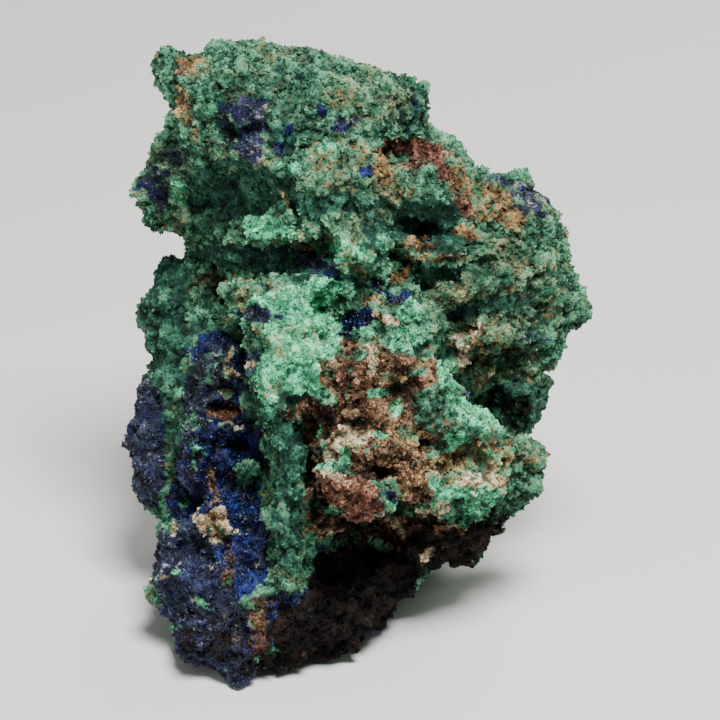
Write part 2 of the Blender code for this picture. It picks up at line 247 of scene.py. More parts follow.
# Laid down in this order, each layer over the ones before it. Each row holds a patch's fields in order:
# across, up, wide and tall, then its roll and its strength where they aren't 0 and 1.
LAYERS: list[tuple[Mineral, list[tuple[float, ...]]]] = [
    # Duller green over the crown, the middle, the right flank and the apron.
    (Mineral.OLIVE, [
        (-21, 102, 6, 5, 0, 0.5), (-35, 91, 6, 6, 0, 0.6), (30, 87, 5, 4, 0, 0.7), (26, 58, 7, 4, 0, 0.7),
        (3, 105.5, 9, 5, -10, 0.5), (-4, 92, 11, 4.4, 0, 0.45), (24, 70, 13, 8, 0, 0.6),
        (20, 61, 6, 4, 0, 0.8), (23, 42, 9, 4.4, 0, 0.7), (7, 103.5, 5, 3, 0, 0.5),
        (-22, 108, 8, 3, 0, 0.4), (4, 85, 8, 6, 0, 0.55), (-4, 81, 7, 4, 0, 0.4), (15, 94, 6, 3, -30, 0.6),
        (29, 80, 8, 5, 0, 0.4), (-32, 85, 2.6, 3, 0, 0.7), (-20, 90.4, 5, 1.2, 0, 0.6),
        (-14, 69.6, 9, 2, 0, 0.5), (6, 67, 6, 2.6, 0, 0.6), (13, 50, 3, 4, 0, 0.5),
        (16.6, 53, 3, 6, 12, 0.6), (22, 48, 4, 2, -30, 0.5), (-14.6, 28.6, 1.6, 2, 0, 0.6),
        (18, 34, 8, 3, 0, 0.5),
    ]),
    # Deep green, painted as shade, in the cave, the hollow, the clefts and the shaded sides.
    (Mineral.DEEP, [
        (-22, 88, 11, 5), (-17, 76, 14, 2.6, -4), (-6, 73.5, 5, 1.6, -20), (12.5, 82, 8, 5, 8),
        (15, 73.5, 8, 1.4, 12, 0.8), (22, 67.5, 8, 1.2, 10, 0.8), (28, 68, 5, 2, 0, 0.6),
        (31, 64, 8, 3, 0, 0.35), (-13.5, 98, 2.5, 3), (-12, 44, 3.6, 9), (-12, 46, 3.4, 6, 0, 0.6),
        (-35, 66, 6, 12, 0, 0.6), (-34, 52, 3, 8, 0, 0.8), (-33, 40, 3, 6, 0, 0.7), (-36, 74, 4, 4, 0, 0.6),
        (28.8, 50.4, 5.6, 4.4, 0, 0.8), (0, 24, 9, 2.4, 0, 0.5), (-5, 86, 5, 1.6, 10), (2, 83, 2, 4),
        (-12.5, 36, 2.6, 8, 0, 0.7), (-26, 63, 4, 3, 0, 0.6),
    ]),
    # Ochre on the crown's corner, down its right slope and along the seams.
    (Mineral.OCHRE, [
        (-30.6, 111.2, 2.8, 1.7, 10, 0.8), (-32.5, 106, 0.8, 4), (-31.4, 102.5, 0.8, 2), (-30, 99, 0.7, 2),
        (-2.5, 107.5, 1, 0.8, 0, 0.7), (-7, 95.5, 1.6, 2, 0, 0.7), (-5.5, 93.5, 1.5, 1.4, 0, 0.6),
        (0, 95.5, 1.3, 1), (0, 92.5, 0.8, 1.2), (3, 90.5, 2.4, 1.4, 0, 0.6), (5, 92.5, 2, 2.6, 0, 0.7),
        (7, 88.5, 1.4, 2, 0, 0.6), (17.5, 91, 4, 2, -30, 0.9), (21.5, 88.5, 3.4, 2, -35, 0.9),
        (25, 86.4, 4.4, 2.6, -35), (27.6, 83.6, 2.8, 1.4, -10), (21, 85.5, 3, 2, -20, 0.9),
        (20, 81, 3, 1, -20, 0.6), (26, 79.6, 3, 0.8, 0, 0.7), (13, 76.6, 8, 0.7, 8, 0.8), (7, 73, 1.6, 1.4),
        (-10, 78.6, 0.9, 2.6, 20), (-12.6, 79.6, 1.2, 0.6), (-11, 82, 0.5, 2, 15, 0.7),
        (-13.8, 87, 0.5, 3, 25, 0.7), (2.5, 69, 2.5, 1, -20, 0.6),
    ]),
    # Rust on the crown's corner and at the top of the right slope.
    (Mineral.RUST, [
        (-31.8, 110.6, 2.4, 1.6, 10, 0.6), (8, 97.2, 3.4, 1.4, -10, 0.8), (12, 95.4, 3.4, 2, -30, 0.9),
        (14.6, 91.8, 2.6, 1.6, -30, 0.9), (9, 93.5, 2.4, 1.4, 0, 0.6), (4, 96, 2.4, 1, 0, 0.7),
        (19, 86.5, 1.8, 4, 20, 0.6), (0.6, 92.6, 2, 1.4, 0, 0.5),
    ]),
    # Brown rock that shows through on the crown and in the middle.
    (Mineral.IRON, [
        (11, 78.8, 4, 1.4, 8, 0.6), (2.6, 84.5, 2.4, 1.8, 0, 0.6), (-13.4, 104.6, 2.6, 1.4, 0, 0.6),
        (18.5, 76.9, 3, 0.6, 8, 0.7), (-10, 75.5, 2, 1, 0, 0.6),
    ]),
    # Dusty blue on the crown's nodules, the edges and the seam under the middle.
    (Mineral.DUST, [
        (-21.2, 103.2, 4.2, 1.9, -6, 0.8), (-17.8, 101.8, 1.6, 3.2, 12, 0.85),
        (-24.2, 101.4, 1.2, 1.8, 0, 0.7), (-21.4, 99.8, 2.8, 1.8, 0, 0.7), (-19.4, 95.8, 2.6, 2.8, -30),
        (-22.4, 97, 1.8, 1, 0, 0.7), (-33.4, 95, 2, 2.2, 0, 0.5), (-33, 92, 3, 3, 0, 0.35),
        (-38.5, 91, 3.4, 3, 0, 0.6), (-37, 86.5, 2.4, 3, -20, 0.55), (-8, 75.6, 4, 1.7, -10),
        (-17.4, 66.4, 3.2, 1.5), (30.5, 87, 3.8, 2.3, -35, 0.65), (25.4, 91, 4.4, 1.5, -20, 0.45),
        (8, 103, 3.4, 3.4, 0, 0.3), (-3, 101.4, 3.4, 1.6, 0, 0.6), (11.5, 104, 2, 4, 0, 0.3),
        (31, 62, 3, 1.5, 0, 0.5),
    ]),
    # Blue spots, then the azurite wall, the far-left lobe and the foot.
    (Mineral.AZURITE, [
        (-14.3, 96.5, 1, 0.9), (-7.3, 103, 1, 0.8), (-3.4, 100, 1.8, 1), (1.6, 92.3, 1.5, 1.3),
        (-12.5, 99.6, 1, 0.9), (-4.6, 72, 2.2, 1.4, -40), (-6, 78, 1, 0.8), (3, 71.5, 1.8, 1.2, -30),
        (6.6, 69.6, 3, 0.8, -15), (-0.6, 66, 3, 1.9, 10), (-2.6, 63.2, 1.2, 0.8), (-15, 67, 1.3, 0.9),
        (0.5, 68, 1, 1), (-19.4, 94.6, 1.4, 1.4, 0, 0.8), (-25.6, 59, 5.4, 4.6), (-26, 52, 5.6, 6),
        (-25, 44, 6.6, 5), (-27, 35, 8.4, 9), (-19.8, 38, 2.6, 10), (-24, 22, 7.6, 9),
        (-14, 11, 5, 5, 0, 0.8), (-6.4, 21, 1.4, 5, 0, 0.8), (-12, 13.5, 3.4, 5), (-40, 44, 3.4, 5, 0, 0.5),
        (-30, 17, 7, 7), (-26, 8, 8, 6),
    ]),
    # Dusty blue over the wall, the lobe and the foot.
    (Mineral.DUST, [
        (-26, 58, 4.4, 3.8, 0, 0.9), (-30, 52, 2.4, 5, 0, 0.8), (-25.5, 53.4, 3, 2, 0, 0.9),
        (-31, 37, 4.4, 5.4, 0, 0.45), (-29.5, 26.5, 5.6, 3.4, 0, 0.7), (-30, 18.5, 6.6, 5.6, 0, 0.6),
        (-26, 10.5, 8, 5.4, 0, 0.65), (-21.6, 3, 3.2, 3.2, 0, 0.9), (-35.6, 21.5, 3.4, 6, 0, 0.9),
        (-39, 43, 4, 12.5, 0, 0.95), (-19, 57, 1.6, 3, 0, 0.7), (-28, 46.4, 2, 1.2, 0, 0.5),
        (-24, 14, 3, 4, 0, 0.6), (-17, 16, 2, 3, 0, 0.4),
    ]),
    # The ironstone, then brown patches and seams around it and in the undercut.
    (Mineral.IRON, [
        (-2.6, 57, 4.2, 5.4), (3.6, 54.5, 7.4, 6.4), (0, 47, 7.4, 4), (-10.6, 48, 4.2, 2.6),
        (8.8, 56.4, 5, 4, 0, 0.95), (9, 47, 5.4, 6, 0, 0.9), (-6.4, 46.6, 2.6, 4), (5.4, 40.4, 7, 4),
        (10.4, 36.4, 3.8, 4), (-23.6, 49.4, 3.4, 1.3), (-26, 36, 0.9, 4, 0, 0.7), (-8.6, 38.5, 1.3, 5),
        (-7.4, 29, 2, 2.6), (20.4, 59, 2.4, 3, -20, 0.5), (14.5, 46, 3, 2, 0, 0.6), (15, 51, 2, 5, 0, 0.5),
        (16, 39.6, 5, 1.4, 6, 0.7), (10, 28, 9, 2.6, -6, 0.8), (12, 25.4, 9, 4.4, -6, 0.7),
        (-18.4, 8.8, 2.4, 4.6, 0, 0.6), (-23.6, 22, 1.2, 8, 0, 0.5), (-18.4, 13, 3, 3.6, 0, 0.4),
        (-3, 15, 6, 5, 0, 0.3), (18, 24, 4, 4, 0, 0.5),
    ]),
    # The ironstone's red bosses, and rust in the undercut and at the foot.
    (Mineral.RUST, [
        (-2, 28.4, 4.6, 2.2, 0, 0.7), (-1.6, 34.2, 6.4, 4, -28), (0.4, 54, 2.6, 4.4, 0, 0.45),
        (-9.6, 46.6, 3, 1.6, 0, 0.5), (7, 26.4, 6, 3, -10, 0.5), (-23.6, 49, 2.6, 0.9, 0, 0.8),
        (12, 36.4, 1.6, 1.4, 0, 0.4), (-6, 13, 4, 3, 0, 0.35), (-17.6, 6.6, 2, 2.4, 0, 0.6),
        (3, 47, 3, 2, 0, 0.4),
    ]),
    # Shade in the undercut, the cracks and the gap under the right flank.
    (Mineral.PAINTED_SHADE, [
        (-1, 27.2, 5, 2.6, 0, 0.6), (0, 17.5, 11, 7, 0, 0.85), (8, 21, 7, 2.6, -10, 0.7),
        (-9, 10, 6, 5, 0, 0.6), (-6, 48, 1.6, 2.4, 0, 0.9), (-8.8, 41, 1, 5, 0, 0.8),
        (24, 27.6, 4, 3.4, 40, 0.6), (14, 23.5, 9, 3.4, -10, 0.7), (20, 26, 5, 2.6, 20, 0.6),
        (28.8, 49.8, 3.4, 2.4, 0, 0.45), (4, 38.4, 3, 1.2, -10, 0.7), (-13.6, 31, 1, 1, 0, 0.4),
        (-7.8, 33, 0.8, 3, 0, 0.8), (-24, 50.4, 3, 0.7, 0, 0.6), (6, 9, 6, 5, 20, 0.6),
    ]),
    # Pale crust on the azurite wall, the ironstone, the apron and the right flank.
    (Mineral.CREAM, [
        (-25.9, 29.4, 2.7, 3.4), (-25.4, 27.4, 2.7, 2), (-23.6, 52, 1.2, 0.7, -10), (-22.6, 55.4, 0.7, 0.8),
        (-23.4, 58.6, 0.4, 2.4), (-20.4, 49.6, 0.5, 0.9), (-22.6, 46.9, 3.6, 0.5, -8), (2, 60.6, 1.7, 1),
        (2.6, 57.4, 1.1, 2.6, 0, 0.5), (5.2, 65.2, 3.6, 1.1, -15, 0.85), (2, 68, 2.4, 1, 0, 0.35),
        (-5.6, 59, 0.7, 3, 10, 0.8), (-3.2, 43.4, 3.6, 2.6, 40), (0.4, 44.6, 2, 1), (4.4, 54.8, 1.1, 0.7),
        (-6.4, 40, 1, 2, 0, 0.8), (-4.4, 37.8, 3, 1.2, -20, 0.7), (18.6, 58.8, 2.2, 2.6, -45, 0.8),
        (20.4, 63, 1.6, 2.6, -30, 0.8), (17.4, 61.4, 1.4, 2, 0, 0.8), (22.4, 54.4, 1.2, 2.4, -30, 0.8),
        (20, 36.6, 7.4, 1.4, 4), (25.4, 36, 3.4, 1.5, 0, 0.9), (24, 39.6, 5, 0.8, 8, 0.7),
        (13.8, 37.6, 2.6, 0.9), (15, 32.6, 1.8, 1.4, 0, 0.8), (19, 40.4, 5.4, 1, 8, 0.8),
        (23, 42.6, 3, 0.8, 0, 0.7), (18.6, 43.6, 2.4, 0.7, 10, 0.6), (26.4, 40.4, 2.4, 0.8, 0, 0.6),
        (22, 34.4, 4, 0.8, 0, 0.7), (7.4, 28.4, 0.9, 1.8), (12.6, 22.6, 0.8, 2.2, -25, 0.5),
        (-26, 57, 4, 3.6, 0, 0.3), (-19.4, 57.6, 0.9, 1.2, 0, 0.7), (-22.6, 55.2, 1.4, 1, 0, 0.7),
        (12, 30.6, 2.4, 0.9, 0, 0.8), (4.6, 30, 1.4, 0.8, 0, 0.8), (15.4, 45.4, 1, 1, 0, 0.8),
        (-33, 27.4, 1, 1.2, 0, 0.8), (-34.6, 19, 1.4, 1.2, 0, 0.6), (-22, 8.2, 1.2, 1.6, 0, 0.5),
        (-24, 12, 0.8, 1.6, 0, 0.5), (-27, 21, 0.8, 0.8, 0, 0.6), (-9, 34.4, 0.7, 0.8),
        (-6, 28.6, 0.5, 1.6, 20, 0.8), (29, 44.6, 2, 0.8, 0, 0.5), (-19, 22, 0.6, 0.8, 0, 0.5),
    ]),
    # Ochre spots and seams among them.
    (Mineral.OCHRE, [
        (9.4, 45.8, 1.1, 0.8), (2.2, 52.8, 0.9, 0.6, 0, 0.8), (5.6, 54.2, 1, 0.7),
        (-6.6, 55, 0.8, 2.4, 10, 0.7), (17, 41.4, 3.4, 0.8, 8, 0.7), (22.6, 38.4, 3.4, 0.8, 0, 0.7),
        (-24.8, 46.6, 0.8, 1, 0, 0.6), (-8.6, 44.4, 1, 2.4, 0, 0.5), (21, 60.4, 1.6, 2, -30, 0.5),
        (-26.4, 30.4, 0.7, 2.6, 0, 0.8), (-14.4, 65.4, 3.4, 0.8, 5, 0.7), (-17.6, 63.6, 2.6, 0.8, 10, 0.7),
        (-7.6, 56, 0.7, 3.6, 12, 0.8),
    ]),
    # The pale green wall and its steps, then bright spots all over the face: pale green, partly painted
    # light.
    (Mineral.MINT, [
        (-14, 68.6, 7, 1.6, 4, 0.8), (-9, 70.6, 6, 2, 4), (-9.4, 63, 6.4, 5.4), (-15, 60.4, 3.4, 5.4),
        (-10.6, 55.6, 4, 4), (-8.4, 52.6, 1.8, 1.8), (-17, 52.6, 2.2, 3.4, 0, 0.8),
        (-16.6, 48, 1.6, 3, 0, 0.5), (-11.6, 27.6, 3.6, 2.6, 0, 0.3), (-13.4, 22, 3.2, 3.4, 0, 0.3),
        (-12.4, 24, 1.2, 1.2, 0, 0.8), (-13, 33, 1.6, 1.6, 0, 0.6), (-20.6, 38.6, 2, 0.9, 0, 0.5),
        (26, 38, 3, 1.2, 0, 0.6), (24, 41.6, 5, 1.3, 6, 0.6), (17.5, 42.4, 3, 1.2, 0, 0.5),
        (8, 61.4, 3.6, 2.2, 0, 0.6), (12, 60.6, 3, 3, 0, 0.3), (16, 55.4, 2, 4.6, 10, 0.35),
        (3.2, 52, 2.2, 0.8), (0.4, 59, 1, 0.9), (3.4, 44.4, 1.4, 0.7), (13.4, 51, 1, 1, 0, 0.6),
        (20, 48.6, 4.6, 2, -30, 0.5), (25, 46, 4.6, 1.2, -12, 0.4), (18, 44.4, 2.4, 1.4, 0, 0.4),
        (14, 35.4, 1.6, 2.2, 0, 0.9), (17.4, 34, 2.4, 1.6, 0, 0.9), (23, 33.6, 2, 1.6, 0, 0.8),
        (20, 31, 1.8, 1.2, 0, 0.7), (6.2, 32.6, 0.8, 1.5), (-6.4, 39, 1.2, 0.7), (-2.4, 41.4, 0.7, 1.4, 20),
        (-18, 82.2, 3.6, 2.2, 0, 0.8), (-14.6, 81, 2.6, 1.4, 0, 0.8), (-3, 78, 3.4, 2.4, 0, 0.7),
        (2, 78.4, 3, 3, 0, 0.7), (4, 76.4, 2.4, 1.4, 0, 0.5), (-27.6, 42, 1.4, 1.8, 0, 0.5),
        (0.6, 63.4, 1.6, 1, 0, 0.8), (-33, 20, 0.8, 0.8, 0, 0.6), (-29, 14.8, 1.6, 0.7, -30, 0.6),
        (-31, 32.4, 0.9, 0.8, 0, 0.8), (-12, 93.6, 3, 1.4, 0, 0.5), (-4.6, 96.4, 2, 1, 0, 0.7),
        (-32, 88, 2, 2.4, 0, 0.5), (-27, 104.6, 3, 2, 0, 0.3), (9.6, 66.4, 3, 2, 0, 0.5),
        (-33, 52.4, 1.6, 1, 0, 0.5), (7, 49, 1, 1.6, 0, 0.6), (18.4, 29, 1, 1.2, 0, 0.6),
        (-16, 57, 2.6, 3, 0, 0.8),
    ]),
    # Four small blue spots.
    (Mineral.AZURITE, [
        (5.6, 34.4, 1.3, 0.5), (6.6, 33.2, 0.4, 0.8), (-2.6, 63.2, 1.2, 0.8), (-28, 60, 1.2, 0.8),
    ]),
    # The green ridge and knob beside the azurite wall, and spots on the ironstone's right side.
    (Mineral.MALACHITE, [
        (-12.4, 22.8, 4.6, 6.2, 0, 0.95), (-14, 31, 2.5, 6), (-20.4, 37.4, 2.9, 2.4, 0, 0.95),
        (-29.4, 44, 1, 6, 0, 0.5), (-27, 56, 4.4, 5, 0, 0.25), (-34, 49, 1.5, 5, 0, 0.75),
        (-35.2, 37, 0.7, 8, 0, 0.6), (13.4, 49.4, 2.6, 4.4, 0, 0.4), (10.2, 56.4, 1, 0.7, 0, 0.9),
        (12.4, 52.2, 1.4, 1.4, 0, 0.9), (11.6, 48, 1.1, 1.5, 0, 0.9), (9.6, 44.6, 0.9, 0.9, 0, 0.9),
        (14.2, 42.6, 1.4, 0.8, 0, 0.9),
    ]),
    # Duller green over both.
    (Mineral.OLIVE, [
        (8, 51.6, 3.4, 4, 0, 0.3), (-12.4, 21, 3.6, 4.6, 0, 0.5), (-14, 31, 2, 4, 0, 0.5),
        (-10.4, 27, 2, 2, 0, 0.5),
    ]),
    # Stains on the apron and the ironstone.
    (Mineral.OCHRE, [
        (25, 39, 6, 3.4, 0, 0.33), (24, 43, 6, 1.2, 6, 0.5), (19, 40.6, 4, 1, 6, 0.5),
        (28, 41, 3, 1, 0, 0.5), (16, 36.6, 2, 0.8, 0, 0.5), (18.4, 38.4, 3, 1, 6, 0.5), (8, 54.6, 0.7, 0.6),
        (-6.4, 57.4, 0.6, 2.4, 10, 0.7), (0, 60, 0.8, 0.6, 0, 0.6), (3.6, 50.6, 1.6, 0.5, 0, 0.5),
    ]),
    # Dust on the foot's tip and on the ledge over the azurite wall.
    (Mineral.DUST, [
        (-21, 0.6, 4.5, 3, 0, 0.9), (-18.4, 65.8, 3, 1.1, 10, 0.45),
    ]),
    # Deeper green here and there on the ridge, the crown, the middle and the ironstone, partly painted
    # shade in their hollows.
    (Mineral.DEEP, [
        (-13.4, 28, 3, 10, 0, 0.6), (-12.4, 46, 3, 6, 0, 0.5), (13.6, 49, 2.8, 4.6, 0, 0.35),
        (-12.4, 110.2, 3.4, 2, 0, 0.5), (-20.6, 112.6, 2, 1.2, 0, 0.4), (9.6, 101.4, 3.4, 2, -20, 0.5),
        (-13.4, 103.4, 2.6, 2.6, 0, 0.45), (-26, 99, 2, 3, 0, 0.4), (-4, 96.6, 3, 1.4, 0, 0.4),
        (17, 53, 2, 5, 14, 0.25), (11, 60, 5, 2.4, 0, 0.4), (-9, 86, 4, 3, 0, 0.35),
        (-20.4, 37, 2.9, 2.2, 0, 0.45), (-20, 35.4, 2.4, 0.9, 0, 0.6), (-34, 47, 2, 6, 0, 0.4),
        (-22, 99.8, 1.8, 1.2, 0, 0.45), (-2, 86, 7, 4, -30, 0.3), (3, 80, 2.6, 5, 0, 0.5),
        (-8, 82.6, 1.8, 5, 20, 0.45), (3, 8, 4, 3, 30, 0.6), (-20, 36.6, 2.6, 1.6, 0, 0.4),
        (7.4, 44.6, 1.6, 2, 0, 0.5), (4.6, 46.6, 1, 0.7, 0, 0.6), (-2, 38.8, 0.8, 1.4, 30, 0.6),
    ]),
    # Shade on the ironstone's top and round the foot.
    (Mineral.PAINTED_SHADE, [
        (8.6, 53.6, 3.6, 2.4, 0, 0.3), (-3, 9.4, 10, 4, 20, 0.8), (-12, 9, 5, 3.4, 0, 0.6),
        (-8, 3.8, 12, 3, 8, 0.8), (-26, 8, 8, 7, 0, 0.45),
    ]),
]


@dataclass(frozen=True)
class Chance:
    """How a mineral strews the sides that the face doesn't lay out.

    Its patches lie where a noise, with swells this wide in millimetres, is above a value, and cover at
    most this share of the skin.
    """

    mineral: Mineral
    width: float
    above: float
    most: float


# Strewn in this order, each mineral over the ones before it.
CHANCES = (
    Chance(Mineral.DEEP, 9.0, 0.1, 0.8),
    Chance(Mineral.OLIVE, 12.0, 0.1, 0.8),
    Chance(Mineral.IRON, 17.0, 0.05, 1.0),
    Chance(Mineral.RUST, 11.0, 0.35, 0.9),
    # Strewn patches of painted shade.
    Chance(Mineral.PAINTED_SHADE, 8.0, 0.3, 0.6),
    Chance(Mineral.AZURITE, 15.0, 0.12, 1.0),
    Chance(Mineral.DUST, 7.0, 0.22, 0.8),
    Chance(Mineral.OCHRE, 6.0, 0.42, 0.8),
    Chance(Mineral.MINT, 8.0, 0.3, 0.7),
    Chance(Mineral.CREAM, 4.5, 0.52, 0.9),
)


@dataclass(frozen=True)
class MineralMap:
    """Says how much of each mineral shows at each place on the rock. Lengths are in millimetres."""

    grid: FaceGrid = GRID
    seed: int = 11
    # The patches' places wander this far over noise this wide, and their edges are frayed by further
    # noises, each with its width, its gain and its seed.
    wander_width: float = 3.2
    wander_reach: float = 0.9
    wander_seeds: tuple[int, int] = (1, 2)
    frays: tuple[tuple[float, float, int], ...] = ((1.3, 0.55, 3), (0.6, 0.35, 4))
    # A patch is weighed only this near its middle: so many times its longer radius, and a margin.
    near_radii: float = 2.2
    near_margin: float = 2.0
    # The noises added up for what is strewn: how many times finer each is, its gain and its seed.
    strewn: tuple[tuple[int, float, int], ...] = ((1, 1.0, 20), (3, 0.45, 40), (8, 0.25, 60))
    strewn_edge: float = 0.18
    # The laid-out face gives way to the strewn sides as the skin turns away from the front.
    turning: Span = (-0.35, 0.0)

    def bare(self, points: np.ndarray) -> dict[Mineral, np.ndarray]:
        """Plain malachite everywhere, to lay the others over.

        Args:
            points: world positions in metres, one a row.

        Returns:
            A share a point, for each mineral.
        """
        shares = {mineral: np.zeros(len(points)) for mineral in Mineral}
        shares[Mineral.MALACHITE] += 1
        return shares

    def laid(self, points: np.ndarray) -> dict[Mineral, np.ndarray]:
        """The minerals of the showy face, from its patches.

        Args:
            points: world positions in metres, one a row.

        Returns:
            A share from 0 to 1 a point, for each mineral.
        """
        at = points / MM
        wander = [value_noise(at, self.wander_width, self.seed + seed) for seed in self.wander_seeds]
        place = self.grid.sighted(points) + self.wander_reach * np.stack(wander, axis=1)
        ragged = sum(gain * value_noise(at, width, self.seed + seed) for width, gain, seed in self.frays)
        shares = self.bare(points)
        for mineral, ovals in LAYERS:
            for oval in ovals:
                patch = Patch(*oval)
                reach = self.near_radii * max(patch.wide, patch.tall) + self.near_margin
                near = np.abs(place - np.array([patch.across, patch.up])).max(axis=1) < reach
                cover = patch.cover(place[near], ragged[near])
                for share in shares.values():
                    share[near] *= 1 - cover
                shares[mineral][near] += cover
        return shares

    def wild(self, points: np.ndarray) -> dict[Mineral, np.ndarray]:
        """The minerals of the sides that the face doesn't lay out, from noise.

        Args:
            points: world positions in metres, one a row.

        Returns:
            A share from 0 to 1 a point, for each mineral.
        """
        at = points / MM
        shares = self.bare(points)
        for k, chance in enumerate(CHANCES):
            swell = sum(
                gain * value_noise(at, chance.width / finer, self.seed + seed + k)
                for finer, gain, seed in self.strewn
            )
            cover = chance.most * smooth_step(chance.above, chance.above + self.strewn_edge, swell)
            for share in shares.values():
                share *= 1 - cover
            shares[chance.mineral] += cover
        return shares

    def shares(self, points: np.ndarray, normals: np.ndarray) -> dict[Mineral, np.ndarray]:
        """The minerals all over the rock.

        Args:
            points: world positions in metres, one a row.
            normals: the skin's directions there.

        Returns:
            A share from 0 to 1 a point, for each mineral.
        """
        facing = smooth_step(*self.turning, normals @ self.grid.axes()[2])
        laid, wild = self.laid(points), self.wild(points)
        return {m: facing * laid[m] + (1 - facing) * wild[m] for m in Mineral}


# ---------------------------------------------------------------------------------------- node trees


# A Mix node's places for its first and second value and its result, in numbers and in colours.
MIX_NUMBERS = (2, 3, 0)
MIX_COLOURS = (6, 7, 2)


@dataclass
class NodeBoard:
    """A node tree being wired up, with short ways to say the commonest steps."""

    tree: bpy.types.NodeTree

    def add(self, kind: str, **settings: object) -> bpy.types.Node:
        """Add a node.

        Args:
            kind: the node's type.
            settings: values for the node's own properties.

        Returns:
            The new node.
        """
        node = self.tree.nodes.new(kind)
        for key, value in settings.items():
            setattr(node, key, value)
        return node

    def feed(self, socket: Socket, value: Feed) -> None:
        """Give an input a link, where value is a socket, or else a plain value.

        Args:
            socket: the input.
            value: a socket or a plain value.
        """
        if isinstance(value, Socket):
            self.tree.links.new(value, socket)
        else:
            socket.default_value = value

    def carried(self, name: str) -> Socket:
        """A number that the mesh carries under this name."""
        return self.add("ShaderNodeAttribute", attribute_name=name).outputs["Fac"]

    def math(self, operation: str, first: Feed, second: Feed = 0.0, clamp: bool = False) -> Socket:
        """A sum on one or two numbers.

        Args:
            operation: a Math node's operation.
            first: a socket or a number.
            second: a socket or a number.
            clamp: whether the result is kept from 0 to 1.

        Returns:
            The result's socket.
        """
        node = self.add("ShaderNodeMath", operation=operation, use_clamp=clamp)
        self.feed(node.inputs[0], first)
        self.feed(node.inputs[1], second)
        return node.outputs[0]

    def swing(self, value: Feed, gain: float) -> Socket:
        """How far a value that lies about 0.5 is from it, times a gain."""
        return self.math("MULTIPLY", self.math("SUBTRACT", value, 0.5), gain)

    def vector(
        self, operation: str, first: Feed, second: Feed | None = None, scale: Feed | None = None
    ) -> Socket:
        """A sum on vectors.

        Args:
            operation: a Vector Math node's operation.
            first: a socket or a vector.
            second: a socket or a vector, where the operation takes two.
            scale: a socket or a number, for SCALE.

        Returns:
            The resulting vector's socket.
        """
        node = self.add("ShaderNodeVectorMath", operation=operation)
        self.feed(node.inputs[0], first)
        if second is not None:
            self.feed(node.inputs[1], second)
        if scale is not None:
            self.feed(node.inputs["Scale"], scale)
        return node.outputs[0]

    def step(self, value: Feed, low: float, high: float) -> Socket:
        """A smooth rise from 0 at low to 1 at high.

        Args:
            value: a socket or a number.
            low: where the rise starts.
            high: where it ends.

        Returns:
            The risen value's socket.
        """
        node = self.add("ShaderNodeMapRange", interpolation_type="SMOOTHSTEP")
        for name, given in (("Value", value), ("From Min", low), ("From Max", high)):
            self.feed(node.inputs[name], given)
        return node.outputs[0]

    def noise(self, at: Socket, width: Feed, detail: float = 2.0, rough: float = 0.5) -> bpy.types.Node:
        """Noise whose swells are this wide, in metres.

        Args:
            at: the position's socket.
            width: a socket or a number, in metres.
            detail: how many finer noises are added.
            rough: how strong the finer ones are.

        Returns:
            The Noise Texture node: output 0 is the value, and output 1 the colour.
        """
        node = self.add("ShaderNodeTexNoise")
        self.feed(node.inputs["Vector"], at)
        self.feed(node.inputs["Scale"], self.frequency(width))
        self.feed(node.inputs["Detail"], detail)
        self.feed(node.inputs["Roughness"], rough)
        return node

    def cells(self, at: Socket, width: Feed) -> bpy.types.Node:
        """Cells this wide, in metres, about scattered middles.

        Args:
            at: the position's socket.
            width: a socket or a number, in metres.

        Returns:
            The Voronoi Texture node: output 0 is the distance from the cell's middle, and output 1 a
            colour for each cell.
        """
        node = self.add("ShaderNodeTexVoronoi")
        self.feed(node.inputs["Vector"], at)
        self.feed(node.inputs["Scale"], self.frequency(width))
        return node

    def frequency(self, width: Feed) -> Feed:
        """How many swells of this width fit in a metre."""
        return self.math("DIVIDE", 1.0, width) if isinstance(width, Socket) else 1.0 / width

    def ramp(self, value: Feed, colours: tuple[Colour, ...]) -> Socket:
        """A colour read off evenly spaced stops, the first at 0 and the last at 1.

        Args:
            value: a socket or a number.
            colours: the stops, in order.

        Returns:
            The colour's socket.
        """
        node = self.add("ShaderNodeValToRGB")
        stops = node.color_ramp.elements
        while len(stops) < len(colours):
            stops.new(0.5)
        for k, colour in enumerate(colours):
            stops[k].position = k / (len(colours) - 1)
            stops[k].color = colour
        self.feed(node.inputs[0], value)
        return node.outputs[0]

    def mix(
        self, node: bpy.types.Node, places: tuple[int, int, int], factor: Feed, first: Feed, second: Feed
    ) -> Socket:
        """Feed a Mix node.

        Args:
            node: the node.
            places: its places for the first value, the second and the result.
            factor: 0 for the first value and 1 for the second.
            first: the first value.
            second: the second value.

        Returns:
            The result's socket.
        """
        for place, value in ((0, factor), (places[0], first), (places[1], second)):
            self.feed(node.inputs[place], value)
        return node.outputs[places[2]]

    def mix_colour(self, factor: Feed, first: Feed, second: Feed, blend: str = "MIX") -> Socket:
        """Mix two colours, by one of the Mix node's blend types."""
        node = self.add("ShaderNodeMix", data_type="RGBA", blend_type=blend)
        return self.mix(node, MIX_COLOURS, factor, first, second)

    def mix_number(self, factor: Feed, first: Feed, second: Feed) -> Socket:
        """Mix two numbers."""
        return self.mix(self.add("ShaderNodeMix", data_type="FLOAT"), MIX_NUMBERS, factor, first, second)


